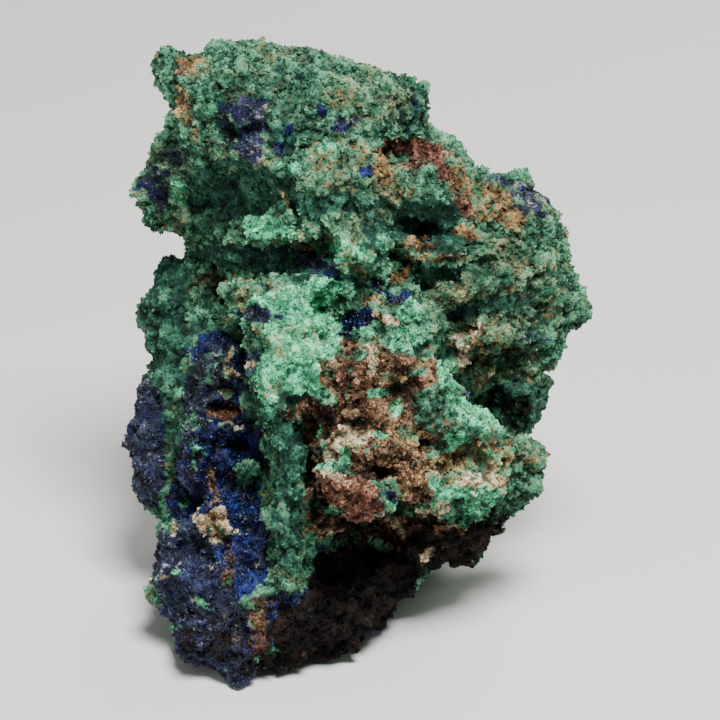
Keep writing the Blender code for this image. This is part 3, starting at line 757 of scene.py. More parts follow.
@dataclass
class ShapeTree(NodeBoard):
    """A Geometry Nodes tree with named inputs, which a modifier sets by their identifiers."""

    identifiers: dict[str, str] = field(default_factory=dict)

    @classmethod
    def started(cls, name: str, sizes: dict[str, float]) -> "ShapeTree":
        """A new tree with a geometry going in and one coming out.

        Args:
            name: the tree's name.
            sizes: a value for each further named input, which also says the kind of its socket.

        Returns:
            The tree, ready for its nodes.
        """
        tree = bpy.data.node_groups.new(name, "GeometryNodeTree")
        tree.interface.new_socket("Geometry", in_out="INPUT", socket_type="NodeSocketGeometry")
        found = {}
        for key, value in sizes.items():
            kind = "NodeSocketInt" if isinstance(value, int) else "NodeSocketFloat"
            found[key] = tree.interface.new_socket(key, in_out="INPUT", socket_type=kind).identifier
        tree.interface.new_socket("Geometry", in_out="OUTPUT", socket_type="NodeSocketGeometry")
        return cls(tree, found)

    def given(self) -> bpy.types.NodeOutputs:
        """The geometry and the named inputs, by name."""
        return self.add("NodeGroupInput").outputs

    def carried(self, name: str) -> Socket:
        """A number that the mesh carries.

        Args:
            name: the number's name.

        Returns:
            The number's socket.
        """
        node = self.add("GeometryNodeInputNamedAttribute", data_type="FLOAT")
        node.inputs["Name"].default_value = name
        return node.outputs[0]

    def position(self) -> Socket:
        """Where each point is."""
        return self.add("GeometryNodeInputPosition").outputs[0]

    def normal(self) -> Socket:
        """Which way the skin faces at each point."""
        return self.add("GeometryNodeInputNormal").outputs[0]

    def altitude(self) -> Socket:
        """How high each point is.

        Returns:
            The height's socket, in metres.
        """
        apart = self.add("ShaderNodeSeparateXYZ")
        self.feed(apart.inputs[0], self.position())
        return apart.outputs[2]

    def sway(self, width: Feed, reach: Feed) -> Socket:
        """A push any way, as strong as its reach, that changes over each width. Both are in metres."""
        swell = self.noise(self.position(), width, detail=2.0, rough=0.6).outputs[1]
        return self.vector("SCALE", self.vector("SUBTRACT", swell, (0.5, 0.5, 0.5)), scale=reach)

    def moved(self, geometry: Socket, offset: Feed) -> Socket:
        """The geometry with its points moved by an offset.

        Args:
            geometry: the geometry's socket.
            offset: a socket or a vector, in metres.

        Returns:
            The moved geometry's socket.
        """
        node = self.add("GeometryNodeSetPosition")
        self.feed(node.inputs["Geometry"], geometry)
        self.feed(node.inputs["Offset"], offset)
        return node.outputs[0]

    def noted(self, geometry: Socket, name: str, value: Feed, domain: str = "POINT") -> Socket:
        """The geometry, with a number written down at each point or instance.

        Args:
            geometry: the geometry's socket.
            name: the name that it is carried under.
            value: the number's socket.
            domain: what carries it.

        Returns:
            The geometry's socket.
        """
        node = self.add("GeometryNodeStoreNamedAttribute", data_type="FLOAT", domain=domain)
        for key, given in (("Geometry", geometry), ("Name", name), ("Value", value)):
            self.feed(node.inputs[key], given)
        return node.outputs[0]

    def random(self, seed: int) -> Socket:
        """A random number from 0 to 1 for each element.

        Args:
            seed: picks the numbers.

        Returns:
            The number's socket.
        """
        node = self.add("FunctionNodeRandomValue", data_type="FLOAT")
        self.feed(node.inputs["Seed"], seed)
        return node.outputs[1]

    def random_vector(self, low: Axes, high: Axes, seed: int) -> Socket:
        """A random vector for each element.

        Args:
            low: the least along each axis.
            high: the most along each axis.
            seed: picks the vectors.

        Returns:
            The vector's socket.
        """
        node = self.add("FunctionNodeRandomValue", data_type="FLOAT_VECTOR")
        for key, given in ((0, low), (1, high), ("Seed", seed)):
            self.feed(node.inputs[key], given)
        return node.outputs[0]

    def end(self, geometry: Socket, material: bpy.types.Material) -> None:
        """End the tree: make any instances real and give the result its material.

        Args:
            geometry: the geometry's socket.
            material: what it wears.
        """
        real = self.add("GeometryNodeRealizeInstances")
        self.feed(real.inputs["Geometry"], geometry)
        wear = self.add("GeometryNodeSetMaterial")
        self.feed(wear.inputs["Geometry"], real.outputs[0])
        wear.inputs["Material"].default_value = material
        self.feed(self.add("NodeGroupOutput").inputs[0], wear.outputs[0])

    def fit(self, obj: bpy.types.Object, sizes: dict[str, float]) -> None:
        """Put the tree on an object.

        Args:
            obj: the object that gets the modifier.
            sizes: what each named input is set to.
        """
        modifier = obj.modifiers.new(self.tree.name, "NODES")
        modifier.node_group = self.tree
        for key, value in sizes.items():
            modifier[self.identifiers[key]] = value


def real_mesh(obj: bpy.types.Object) -> bpy.types.Mesh:
    """Make an object's modifiers real.

    Args:
        obj: the object, which loses its modifiers.

    Returns:
        Its new mesh.
    """
    bpy.context.view_layer.update()
    graph = bpy.context.evaluated_depsgraph_get()
    mesh = bpy.data.meshes.new_from_object(obj.evaluated_get(graph))
    obj.modifiers.clear()
    obj.data = mesh
    return mesh


def wear_only(mesh: bpy.types.Mesh, material: bpy.types.Material) -> None:
    """Give a mesh one material, in place of any that it came with."""
    mesh.materials.clear()
    mesh.materials.append(material)


def triangles(mesh: bpy.types.Mesh) -> int:
    """How many triangles a mesh makes."""
    return sum(len(face.vertices) - 2 for face in mesh.polygons)


def new_object(name: str, data: bpy.types.ID) -> bpy.types.Object:
    """A new object in the scene, at the origin.

    Args:
        name: the object's name.
        data: its mesh, light or camera.

    Returns:
        The object.
    """
    obj = bpy.data.objects.new(name, data)
    bpy.context.scene.collection.objects.link(obj)
    return obj


def read_vectors(items: bpy.types.bpy_prop_collection, key: str) -> np.ndarray:
    """One vector for each of Blender's items, as rows.

    Args:
        items: a collection, such as the vertices.
        key: the vector's name on each item.

    Returns:
        The vectors, one a row.
    """
    found = np.empty(len(items) * 3, np.float32)
    items.foreach_get(key, found)
    return found.reshape(-1, 3).astype(float)


# ---------------------------------------------------------------------------------------- finishes


@dataclass(frozen=True)
class Tone:
    """How one mineral looks.

    Its shades run from dark to light. Specks and flecks of other colours show where their noises are
    above specks and flecks, and pinpricks of painted shade, for tiny pits, darken it by the share called
    pinprick_shade.
    """

    dark: Colour
    middle: Colour
    light: Colour
    roughness: float
    speck: Colour
    specks: float
    fleck: Colour
    flecks: float
    pinprick_shade: float = 0.0


TONES: dict[Mineral, Tone] = {
    Mineral.MALACHITE: Tone(
        dark=(0.008, 0.034, 0.02, 1), middle=(0.078, 0.238, 0.134, 1), light=(0.165, 0.388, 0.222, 1),
        roughness=0.85, speck=(0.25, 0.22, 0.1, 1), specks=0.62,
        fleck=(0.016, 0.085, 0.05, 1), flecks=0.6, pinprick_shade=0.15,
    ),
    # Pale green, partly painted light on the lit wall and the bright spots.
    Mineral.MINT: Tone(
        dark=(0.026, 0.16, 0.078, 1), middle=(0.145, 0.74, 0.37, 1), light=(0.34, 1.0, 0.61, 1),
        roughness=0.75, speck=(0.6, 0.52, 0.24, 1), specks=0.64,
        fleck=(0.035, 0.23, 0.12, 1), flecks=0.58, pinprick_shade=0.8,
    ),
    Mineral.OLIVE: Tone(
        dark=(0.016, 0.032, 0.016, 1), middle=(0.12, 0.2, 0.108, 1), light=(0.24, 0.365, 0.21, 1),
        roughness=0.85, speck=(0.36, 0.28, 0.13, 1), specks=0.63,
        fleck=(0.025, 0.14, 0.075, 1), flecks=0.56, pinprick_shade=0.5,
    ),
    # Dark green that stands mostly for painted shade.
    Mineral.DEEP: Tone(
        dark=(0.003, 0.016, 0.01, 1), middle=(0.018, 0.075, 0.046, 1), light=(0.075, 0.24, 0.15, 1),
        roughness=0.85, speck=(0.07, 0.06, 0.035, 1), specks=0.66,
        fleck=(0.006, 0.035, 0.028, 1), flecks=0.6,
    ),
    Mineral.AZURITE: Tone(
        dark=(0.0008, 0.002, 0.012, 1), middle=(0.004, 0.009, 0.055, 1), light=(0.018, 0.035, 0.19, 1),
        roughness=0.35, speck=(0.05, 0.07, 0.13, 1), specks=0.74,
        fleck=(0.002, 0.008, 0.02, 1), flecks=0.62,
    ),
    # Its whitish specks are painted glints.
    Mineral.DUST: Tone(
        dark=(0.002, 0.004, 0.013, 1), middle=(0.011, 0.016, 0.04, 1), light=(0.055, 0.068, 0.115, 1),
        roughness=0.6, speck=(0.27, 0.28, 0.3, 1), specks=0.66,
        fleck=(0.005, 0.008, 0.045, 1), flecks=0.56,
    ),
    Mineral.OCHRE: Tone(
        dark=(0.05, 0.035, 0.015, 1), middle=(0.3, 0.18, 0.072, 1), light=(0.68, 0.45, 0.18, 1),
        roughness=0.95, speck=(0.1, 0.26, 0.15, 1), specks=0.55,
        fleck=(0.14, 0.045, 0.018, 1), flecks=0.6, pinprick_shade=0.3,
    ),
    Mineral.IRON: Tone(
        dark=(0.012, 0.006, 0.004, 1), middle=(0.105, 0.053, 0.028, 1), light=(0.36, 0.22, 0.13, 1),
        roughness=0.95, speck=(0.55, 0.34, 0.14, 1), specks=0.65,
        fleck=(0.045, 0.19, 0.1, 1), flecks=0.62, pinprick_shade=0.6,
    ),
    Mineral.RUST: Tone(
        dark=(0.02, 0.008, 0.006, 1), middle=(0.15, 0.06, 0.036, 1), light=(0.5, 0.27, 0.17, 1),
        roughness=0.9, speck=(0.55, 0.4, 0.24, 1), specks=0.64,
        fleck=(0.03, 0.018, 0.02, 1), flecks=0.6, pinprick_shade=0.5,
    ),
    Mineral.CREAM: Tone(
        dark=(0.09, 0.06, 0.03, 1), middle=(0.48, 0.37, 0.22, 1), light=(0.88, 0.78, 0.56, 1),
        roughness=0.85, speck=(0.18, 0.075, 0.03, 1), specks=0.58,
        fleck=(0.11, 0.38, 0.21, 1), flecks=0.6, pinprick_shade=0.5,
    ),
    # Painted shade: near black.
    Mineral.PAINTED_SHADE: Tone(
        dark=(0.001, 0.0009, 0.0009, 1), middle=(0.005, 0.004, 0.0036, 1), light=(0.022, 0.015, 0.012, 1),
        roughness=0.95, speck=(0.05, 0.03, 0.02, 1), specks=0.68,
        fleck=(0.012, 0.006, 0.005, 1), flecks=0.55,
    ),
}


@dataclass(frozen=True)
class CrustFinish:
    """The minerals' finish, mixed from place to place by the shares that a mesh carries."""

    name: str
    gloss: float
    tint: float = 0.0
    roughness_shift: float = 0.0
    # How rough every noise is, and how far each next one is moved aside, so that no two agree.
    noise_rough: float = 0.65
    noise_aside: Axes = (0.31, 0.17, 0.23)
    # What pushes the shade from its middle: three noises, and how high the skin stands out, which paints
    # shade into the low parts.
    middle_shade: float = 0.5
    shade_gains: tuple[tuple[Noise, float], ...] = (
        (Noise.FINE, 1.7), (Noise.MIDDLE, 1.3), (Noise.BROAD, 0.8),
    )
    relief_shade_gain: float = 0.55
    # How two minerals' border is frayed, over which shares it passes from one to the other, and the
    # least sum that a share is divided by.
    border_frays: tuple[tuple[Noise, float], ...] = ((Noise.FINE, 0.9), (Noise.FLECK, 1.5))
    border: Span = (0.36, 0.64)
    least_share: float = 0.001
    # How the broad noise gathers the specks, and the soft edges of specks, flecks and pinpricks.
    gathering: float = 0.7
    speck_edge: Span = (-0.03, 0.07)
    fleck_edge: Span = (-0.05, 0.05)
    prick_edge: Span = (0.5, 0.62)
    # How dark the painted shade in the deepest clefts is, and how high the skin stands out where it ends.
    pit_shade: float = 0.5
    cleft: Span = (0.0, 0.55)
    # The relief too fine for the mesh.
    bump: float = 0.55
    bump_depth: float = 0.25 * MM
    bump_grit_width: float = 0.38 * MM
    bump_fine: float = 1.4
    bump_grit: float = 0.6

    def material(self) -> bpy.types.Material:
        """Build the material.

        Returns:
            The material.
        """
        material = bpy.data.materials.new(self.name)
        material.use_nodes = True
        board = NodeBoard(material.node_tree)
        shader = material.node_tree.nodes["Principled BSDF"]
        at = board.add("ShaderNodeTexCoord").outputs["Object"]
        swells = self.swells(board, at)
        colour, roughness = self.minerals(board, swells)
        roughness = board.math("ADD", roughness, self.roughness_shift, clamp=True)
        board.feed(shader.inputs["Base Color"], self.shaded(board, colour))
        board.feed(shader.inputs["Roughness"], roughness)
        shader.inputs["Specular IOR Level"].default_value = self.gloss
        board.feed(shader.inputs["Normal"], self.bumps(board, at, swells[Noise.FINE]))
        return material

    def swells(self, board: NodeBoard, at: Socket) -> dict[Noise, Socket]:
        """The noises that every mineral's colour is read from.

        Args:
            board: the material's tree.
            at: the position's socket.

        Returns:
            Each noise's socket.
        """
        found = {}
        for k, noise in enumerate(Noise):
            width, detail = noise.value
            aside = board.vector("ADD", at, tuple(k * step for step in self.noise_aside))
            found[noise] = board.noise(aside, width * MM, detail, self.noise_rough).outputs[0]
        return found

    def minerals(self, board: NodeBoard, swells: dict[Noise, Socket]) -> tuple[Socket, Socket]:
        """Lay the minerals' tones over each other.

        Args:
            board: the material's tree.
            swells: the noises.

        Returns:
            The colour's and the roughness's sockets.
        """
        shade = self.shade(board, swells)
        ragged = board.math("ADD", *(board.swing(swells[noise], gain) for noise, gain in self.border_frays))
        gathered = board.swing(swells[Noise.BROAD], self.gathering)
        marks = {
            Noise.SPECK: board.math("ADD", swells[Noise.SPECK], gathered),
            Noise.FLECK: swells[Noise.FLECK],
            Noise.PRICK: board.step(swells[Noise.PRICK], *self.prick_edge),
        }
        whole = board.carried(Mineral.MALACHITE.value)
        colour = roughness = None
        for mineral, tone in TONES.items():
            own = self.marked(board, tone, shade, marks)
            if colour is None:
                colour, roughness = own, tone.roughness
                continue
            share = board.carried(mineral.value)
            whole = board.math("ADD", whole, share)
            share = board.math("DIVIDE", share, board.math("MAXIMUM", whole, self.least_share))
            share = board.step(board.math("ADD", share, ragged), *self.border)
            colour = board.mix_colour(share, colour, own)
            roughness = board.mix_number(share, roughness, tone.roughness)
        return colour, roughness

    def marked(self, board: NodeBoard, tone: Tone, shade: Socket, marks: dict[Noise, Socket]) -> Socket:
        """One mineral's colour, with its flecks, specks and pinpricks.

        Args:
            board: the material's tree.
            tone: the mineral's looks.
            shade: where it is between its dark and its light.
            marks: the noises that lay the specks, the flecks and the pinpricks.

        Returns:
            The colour's socket.
        """
        own = board.ramp(shade, (tone.dark, tone.middle, tone.light))
        flecks = board.step(marks[Noise.FLECK], *(tone.flecks + edge for edge in self.fleck_edge))
        own = board.mix_colour(flecks, own, tone.fleck)
        specks = board.step(marks[Noise.SPECK], *(tone.specks + edge for edge in self.speck_edge))
        own = board.mix_colour(specks, own, tone.speck)
        return board.mix_colour(board.math("MULTIPLY", marks[Noise.PRICK], tone.pinprick_shade), own, tone.dark)

    def shade(self, board: NodeBoard, swells: dict[Noise, Socket]) -> Socket:
        """Where between its dark and its light a mineral is.

        Args:
            board: the material's tree.
            swells: the noises.

        Returns:
            The shade's socket, from 0 to 1.
        """
        shade = self.middle_shade
        for noise, gain in self.shade_gains:
            shade = board.math("ADD", shade, board.swing(swells[noise], gain))
        if self.tint:
            shade = board.math("ADD", shade, board.swing(board.carried(GRAIN_TINT), self.tint))
        # The lower the skin stands, the nearer its dark: painted shade in the clefts.
        return board.math("ADD", shade, board.swing(board.carried(RELIEF), self.relief_shade_gain), clamp=True)

    def shaded(self, board: NodeBoard, colour: Socket) -> Socket:
        """Paint shade into the clefts: the lower the skin stands, the darker its colour.

        Args:
            board: the material's tree.
            colour: the colour's socket.

        Returns:
            The darkened colour's socket.
        """
        high = board.step(board.carried(RELIEF), *self.cleft)
        cleft_painted_shade = board.mix_colour(high, (self.pit_shade,) * 3 + (1,), WHITE)
        return board.mix_colour(1.0, colour, cleft_painted_shade, "MULTIPLY")

    def bumps(self, board: NodeBoard, at: Socket, fine: Socket) -> Socket:
        """The relief too fine for the mesh.

        Args:
            board: the material's tree.
            at: the position's socket.
            fine: the fine noise.

        Returns:
            The normal's socket.
        """
        grit = board.cells(at, self.bump_grit_width).outputs[0]
        rise = board.math("MULTIPLY", fine, self.bump_fine)
        height = board.math("SUBTRACT", rise, board.math("MULTIPLY", grit, self.bump_grit))
        node = board.add("ShaderNodeBump")
        for name, value in (("Strength", self.bump), ("Distance", self.bump_depth), ("Height", height)):
            board.feed(node.inputs[name], value)
        return node.outputs[0]


@dataclass(frozen=True)
class PlainFinish:
    """One colour all over."""

    name: str
    colour: Colour
    roughness: float

    def material(self) -> bpy.types.Material:
        """Build the material.

        Returns:
            The material.
        """
        material = bpy.data.materials.new(self.name)
        material.use_nodes = True
        shader = material.node_tree.nodes["Principled BSDF"]
        shader.inputs["Base Color"].default_value = self.colour
        shader.inputs["Roughness"].default_value = self.roughness
        return material


# ---------------------------------------------------------------------------------------- the rock


@dataclass(frozen=True)
class Swelling:
    """A lump or, where its push is under 0, a pit on the showy face, in millimetres and degrees.

    It moves only what lies below a height over the face, and fades out over the last stretch up to it.
    """

    across: float
    up: float
    wide: float
    tall: float
    roll: float
    push: float
    below: float = 99.0
    fade: float = 4.0

    def raised(self, place: np.ndarray, sighted: np.ndarray) -> np.ndarray:
        """How far out it pushes each point.

        Args:
            place: each point's across, up and out.
            sighted: each point's across and up as the eye sees them.

        Returns:
            A distance in millimetres for each point.
        """
        oval = Patch(self.across, self.up, self.wide, self.tall, self.roll)
        deep = smooth_step(self.below, self.below - self.fade, place[:, 2])
        return self.push * oval.cover(sighted, np.zeros(len(place))) * deep


# Each row holds a swelling's fields in order: across, up, wide, tall, roll, push and, for one, below.
SWELLINGS = [Swelling(*shape) for shape in (
    # The hollow on the right, made shallower, then the crown's nodules, pits and clefts.
    (10.5, 81, 5.6, 4.6, 0, 8, 13), (-20.5, 102.6, 4, 2.4, 0, 1.6), (-19, 95.2, 2.4, 2, 0, 1.5),
    (-22, 99.2, 2.8, 2.2, 0, -2.6), (-14, 104.4, 1.4, 2.2, 0, -1.8), (-13, 97.4, 1.3, 2.2, 0, -1.8),
    (3.4, 104.8, 3.4, 3, 0, 1), (9, 102.4, 2.6, 2.6, 0, -0.8), (-27, 106, 3, 4, 0, 1),
    (-29, 97.4, 3.4, 2.6, 0, 1.2), (-32, 85.4, 2.6, 2.6, 0, 1.2), (-8, 89.6, 4.6, 3, -20, 1.2),
    (8, 91.4, 3, 2.4, 0, 1.2),
    # The middle's lumps, with the crack between them.
    (-18, 81.6, 4.4, 2.8, 0, 1.8), (-11.6, 85, 0.9, 5.4, 25, -2.4), (-2.4, 84, 3.4, 3, 0, 1.3),
    (-2, 77.6, 4, 3, 0, 1.6), (3.6, 85, 1.8, 2.2, 0, -2), (11.5, 87.6, 4.6, 2.2, -15, 1.4),
    (-7, 75.6, 3.6, 1.6, -20, 1.4), (-4, 73.4, 3.4, 0.8, -20, -1.6),
    # The right flank's ledges.
    (17, 76, 8.5, 1.2, 8, 1.8), (14.6, 72.4, 5, 1, 15, -1.8), (21, 70.4, 8, 1.1, 4, 1.2),
    (22, 66, 8, 1, -5, -1.6), (26, 63, 6, 1.4, 0, 1), (30, 69.6, 3.4, 2.4, 0, -1.4),
    (37, 67.4, 3.6, 3.6, 0, 1), (31, 77, 4, 3, 0, 0.8), (25.4, 57.4, 5.4, 3, 0, 2.8),
    # The ironstone's bosses, the clefts under them and the apron's ledges.
    (7.6, 56.6, 4.6, 2.6, 0, 2), (-3, 56, 2.6, 4, 0, 0.8), (-4, 48.6, 1.2, 2.4, 0, -3),
    (2.6, 42, 4, 2.2, 0, 1.6), (4.4, 38, 3.2, 1, -15, -1.2), (10.4, 36, 2.4, 2.6, 0, 1.7),
    (-1.6, 34.4, 5.6, 3.4, -28, 2), (10.2, 40.6, 1.8, 1.3, 0, 1), (-9, 48.4, 3.6, 2.2, 0, 1.8),
    (-8.8, 43, 1.2, 3.4, 0, -2), (8.6, 47.4, 1, 4, 0, -0.8), (1.6, 50, 4, 0.7, 0, -1.2),
    (20, 35, 8, 1.6, 4, 1.3), (24, 39.4, 6, 0.7, 6, -1), (22, 43.6, 7, 0.9, 0, 0.8),
    # The azurite wall's knobs and recesses, and the green ridge beside it.
    (-26, 57.4, 4.4, 4.2, 0, 1), (-23.4, 49.4, 3.4, 1.1, 0, -2.2), (-23, 46, 4, 1.2, 0, 1.4),
    (-20, 42.4, 3.6, 1.8, 0, -2.4), (-20.4, 37.6, 2.9, 2.4, 0, 1.8), (-16.6, 37, 1.4, 4.6, 0, -2),
    (-18.4, 33, 1.6, 2, 0, -1.2), (-25.4, 29.2, 2.9, 3, 0, 2), (-32.6, 27.2, 2, 1.8, 0, 1.3),
    (-34.4, 19.4, 2.4, 2, 0, 1), (-28, 18.4, 3, 2, 0, 1.2), (-24, 12.6, 2, 3, 0, 1), (-30, 9, 3, 2.4, 0, 1),
    (-31, 37, 3, 3.6, 0, 1.2), (-13, 24, 3.2, 5, 0, 1.2), (-12.6, 31.6, 2.4, 1, 0, -1),
    (-15.6, 48, 1, 4, 0, -1.2), (-18.6, 57, 0.6, 5, 5, -1.4),
)]


@dataclass(frozen=True)
class Plug:
    """A ball that closes a hole, in millimetres on the showy face's axes."""

    across: float
    up: float
    out: float
    radius: float
    rounds: int = 3

    def fill(self, shape: bmesh.types.BMesh) -> None:
        """Add the ball to a shape, whose new skin then runs over it."""
        place = Matrix.Translation(GRID.world(self.across, self.up, self.out))
        bmesh.ops.create_icosphere(shape, subdivisions=self.rounds, radius=self.radius * MM, matrix=place)


# The hole between the ironstone and the apron, from its mouth down, then the gap under the right flank.
PLUGS = (
    Plug(13.1, 41.3, 14.2, 6.2),
    Plug(13.2, 41.2, 7, 5.2),
    Plug(13.2, 41.1, 1, 4.8),
    Plug(25.9, 45.4, -9, 3.2),
)


@dataclass
class RockSkin:
    """The rock itself: the solid's skin, grown finer, with crags, knobs and pits."""

    name: str = "specimen_rock"
    slot: str = "ore_crust"
    finish: CrustFinish = CrustFinish("ore_crust", gloss=0.2)
    # The cells of the finished skin, how many times larger they are before the swellings, and how near
    # each other the solid's points are when they are joined.
    cell: float = 0.45 * MM
    first_cells: float = 1.3
    join_within: float = 1e-6
    # Swellings push only skin that faces this much to the front, and relief starts this high up.
    facing: Span = (-0.1, 0.3)
    foot: Span = (0.2 * MM, 2.5 * MM)
    # The relief's sizes, which are the tree's named inputs.
    warp_width: float = 8.0 * MM
    warp_reach: float = 2.4 * MM
    crag_width: float = 6.0 * MM
    crag_height: float = 3.4 * MM
    knob_width: float = 2.3 * MM
    knob_height: float = 1.1 * MM
    crest_width: float = 2.6 * MM
    crest_height: float = 1.6 * MM
    chunk_width: float = 3.2 * MM
    chunk_height: float = 1.8 * MM
    grain_width: float = 1.0 * MM
    grain_height: float = 0.8 * MM
    # How the knobs, crests and chunks are bent, so that none is round.
    bend_width: float = 3.0 * MM
    bend_reach: float = 2.4 * MM
    # How steep the crags' and crests' sides are, and what brings each form's middle height to about 0.
    crag_slope: float = 3.0
    crag_sunk: float = 0.33
    crest_slope: float = 3.4
    crest_top: float = 0.3
    knob_top: float = 0.48
    grain_top: float = 0.45
    # The minerals that are smoother than the rest, and by how much, then those that break in chunks.
    calmer: tuple[tuple[Mineral, float], ...] = (
        (Mineral.MINT, 0.35), (Mineral.RUST, 0.4), (Mineral.DEEP, 0.45), (Mineral.AZURITE, 0.2),
        (Mineral.DUST, 0.3),
    )
    broken: tuple[Mineral, Mineral] = (Mineral.IRON, Mineral.CREAM)
    # The heights that are noted as a relief of 0 and of 1.
    relief_span: Span = (-1.3 * MM, 1.4 * MM)

    def sizes(self) -> dict[str, float]:
        """The relief's sizes.

        Returns:
            Each size in metres, by the name of the tree's input that takes it.
        """
        return {
            "Warp width": self.warp_width, "Warp reach": self.warp_reach,
            "Crag width": self.crag_width, "Crag height": self.crag_height,
            "Knob width": self.knob_width, "Knob height": self.knob_height,
            "Crest width": self.crest_width, "Crest height": self.crest_height,
            "Chunk width": self.chunk_width, "Chunk height": self.chunk_height,
            "Grain width": self.grain_width, "Grain height": self.grain_height,
        }

    def solid_copy(self) -> bpy.types.Object:
        """A copy of the solid, with its loose triangles joined and its narrow holes plugged.

        Returns:
            The copy's object.
        """
        shape = bmesh.new()
        shape.from_mesh(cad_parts[NODE].data)
        bmesh.ops.remove_doubles(shape, verts=shape.verts, dist=self.join_within)
        for plug in PLUGS:
            plug.fill(shape)
        mesh = bpy.data.meshes.new(self.name)
        shape.to_mesh(mesh)
        shape.free()
        return new_object(self.name, mesh)

    def refined(self) -> bpy.types.Object:
        """The solid's copy, softened, swollen and cut into fine, even cells.

        Returns:
            The copy's object, before its relief.
        """
        obj = self.solid_copy()
        soft = obj.modifiers.new("soften", "SUBSURF")
        soft.levels = soft.render_levels = 1
        self.recelled(obj, self.first_cells * self.cell)
        mesh = obj.data
        points = read_vectors(mesh.vertices, "co")
        place, sighted = GRID.placed(points), GRID.sighted(points)
        push = sum(swelling.raised(place, sighted) for swelling in SWELLINGS)
        out = GRID.axes()[2]
        push *= smooth_step(*self.facing, read_vectors(mesh.vertex_normals, "vector") @ out)
        points += np.outer(push, out) * MM
        mesh.vertices.foreach_set("co", points.astype(np.float32).ravel())
        self.recelled(obj, self.cell)
        return obj

    def recelled(self, obj: bpy.types.Object, cell: float) -> None:
        """Give a closed shape an even skin of square cells.

        Args:
            obj: the shape's object.
            cell: a cell's side, in metres.
        """
        fine = obj.modifiers.new("even cells", "REMESH")
        fine.mode = "VOXEL"
        fine.voxel_size = cell
        real_mesh(obj)

    def share_minerals(self, mesh: bpy.types.Mesh) -> None:
        """Write how much of each mineral shows at each point, as attributes.

        Args:
            mesh: the rock's mesh.
        """
        points, normals = read_vectors(mesh.vertices, "co"), read_vectors(mesh.vertex_normals, "vector")
        for mineral, share in MineralMap().shares(points, normals).items():
            layer = mesh.attributes.new(mineral.value, "FLOAT", "POINT")
            layer.data.foreach_set("value", share.astype(np.float32))

    def relief_tree(self, material: bpy.types.Material) -> ShapeTree:
        """The tree that grows crags, knobs and grain on the skin.

        Args:
            material: what the rock wears.

        Returns:
            The tree, with its named inputs.
        """
        tree = ShapeTree.started("rock relief", self.sizes())
        given = tree.given()
        lift = tree.step(tree.altitude(), *self.foot)
        warp = tree.sway(given["Warp width"], tree.math("MULTIPLY", given["Warp reach"], lift))
        geometry = tree.moved(given["Geometry"], warp)
        geometry = tree.noted(geometry, "height", self.crags(tree, given, lift))
        geometry = tree.noted(geometry, "grit", self.grit(tree, given, lift))
        normal = tree.normal()
        for name in ("height", "grit"):
            geometry = tree.moved(geometry, tree.vector("SCALE", normal, scale=tree.carried(name)))
        whole = tree.math("ADD", tree.carried("height"), tree.carried("grit"))
        geometry = tree.noted(geometry, RELIEF, tree.step(whole, *self.relief_span))
        tree.end(self.grounded(tree, geometry), material)
        return tree

    def crags(self, tree: ShapeTree, given: bpy.types.NodeOutputs, lift: Socket) -> Socket:
        """Lumps with sharp clefts between them, knobs and crests on those, and chunks of ironstone.

        Args:
            tree: the tree.
            given: the tree's named inputs.
            lift: 0 on the flat underside, rising to 1 above it.

        Returns:
            The height's socket.
        """
        at = tree.position()
        bent = tree.vector("ADD", at, tree.sway(self.bend_width, self.bend_reach))
        swell = tree.noise(at, given["Crag width"], detail=4.0, rough=0.58).outputs[0]
        crag = tree.math("SUBTRACT", self.ridged(tree, swell, self.crag_slope), self.crag_sunk)
        knob = tree.math("SUBTRACT", self.knob_top, tree.cells(bent, given["Knob width"]).outputs[0])
        fold = tree.noise(bent, given["Crest width"], detail=3.0, rough=0.6).outputs[0]
        crest = tree.math("SUBTRACT", self.crest_top, self.ridged(tree, fold, self.crest_slope))
        height = tree.math("MULTIPLY", crag, given["Crag height"])
        height = tree.math("ADD", height, tree.math("MULTIPLY", knob, given["Knob height"]))
        height = tree.math("ADD", height, tree.math("MULTIPLY", crest, given["Crest height"]))
        height = tree.math("MULTIPLY", height, self.calm(tree))
        return tree.math("MULTIPLY", tree.math("ADD", height, self.chunks(tree, given, bent)), lift)

    def ridged(self, tree: ShapeTree, noise: Socket, slope: float) -> Socket:
        """Sharp lines where a noise crosses its middle, with sides this steep."""
        return tree.math("MULTIPLY", tree.math("ABSOLUTE", tree.math("SUBTRACT", noise, 0.5)), slope)

    def calm(self, tree: ShapeTree) -> Socket:
        """How much of the relief is left, since some minerals are smoother than others.

        Args:
            tree: the tree.

        Returns:
            The share's socket.
        """
        calm = 1.0
        for mineral, less in self.calmer:
            calm = tree.math("SUBTRACT", calm, tree.math("MULTIPLY", tree.carried(mineral.value), less))
        return calm

    def chunks(self, tree: ShapeTree, given: bpy.types.NodeOutputs, bent: Socket) -> Socket:
        """Broken chunks, each at a height of its own.

        Args:
            tree: the tree.
            given: the tree's named inputs.
            bent: the bent position.

        Returns:
            The height's socket.
        """
        cell = tree.add("ShaderNodeSeparateXYZ")
        tree.feed(cell.inputs[0], tree.cells(bent, given["Chunk width"]).outputs[1])
        chunk = tree.math("MULTIPLY", tree.math("SUBTRACT", cell.outputs[0], 0.5), given["Chunk height"])
        broken = tree.math("ADD", *(tree.carried(mineral.value) for mineral in self.broken), clamp=True)
        return tree.math("MULTIPLY", chunk, broken)

    def grit(self, tree: ShapeTree, given: bpy.types.NodeOutputs, lift: Socket) -> Socket:
        """Grain on the lumps.

        Args:
            tree: the tree.
            given: the tree's named inputs.
            lift: 0 on the flat underside, rising to 1 above it.

        Returns:
            The height's socket.
        """
        grain = tree.cells(tree.position(), given["Grain width"]).outputs[0]
        height = tree.math("MULTIPLY", tree.math("SUBTRACT", self.grain_top, grain), given["Grain height"])
        return tree.math("MULTIPLY", height, lift)

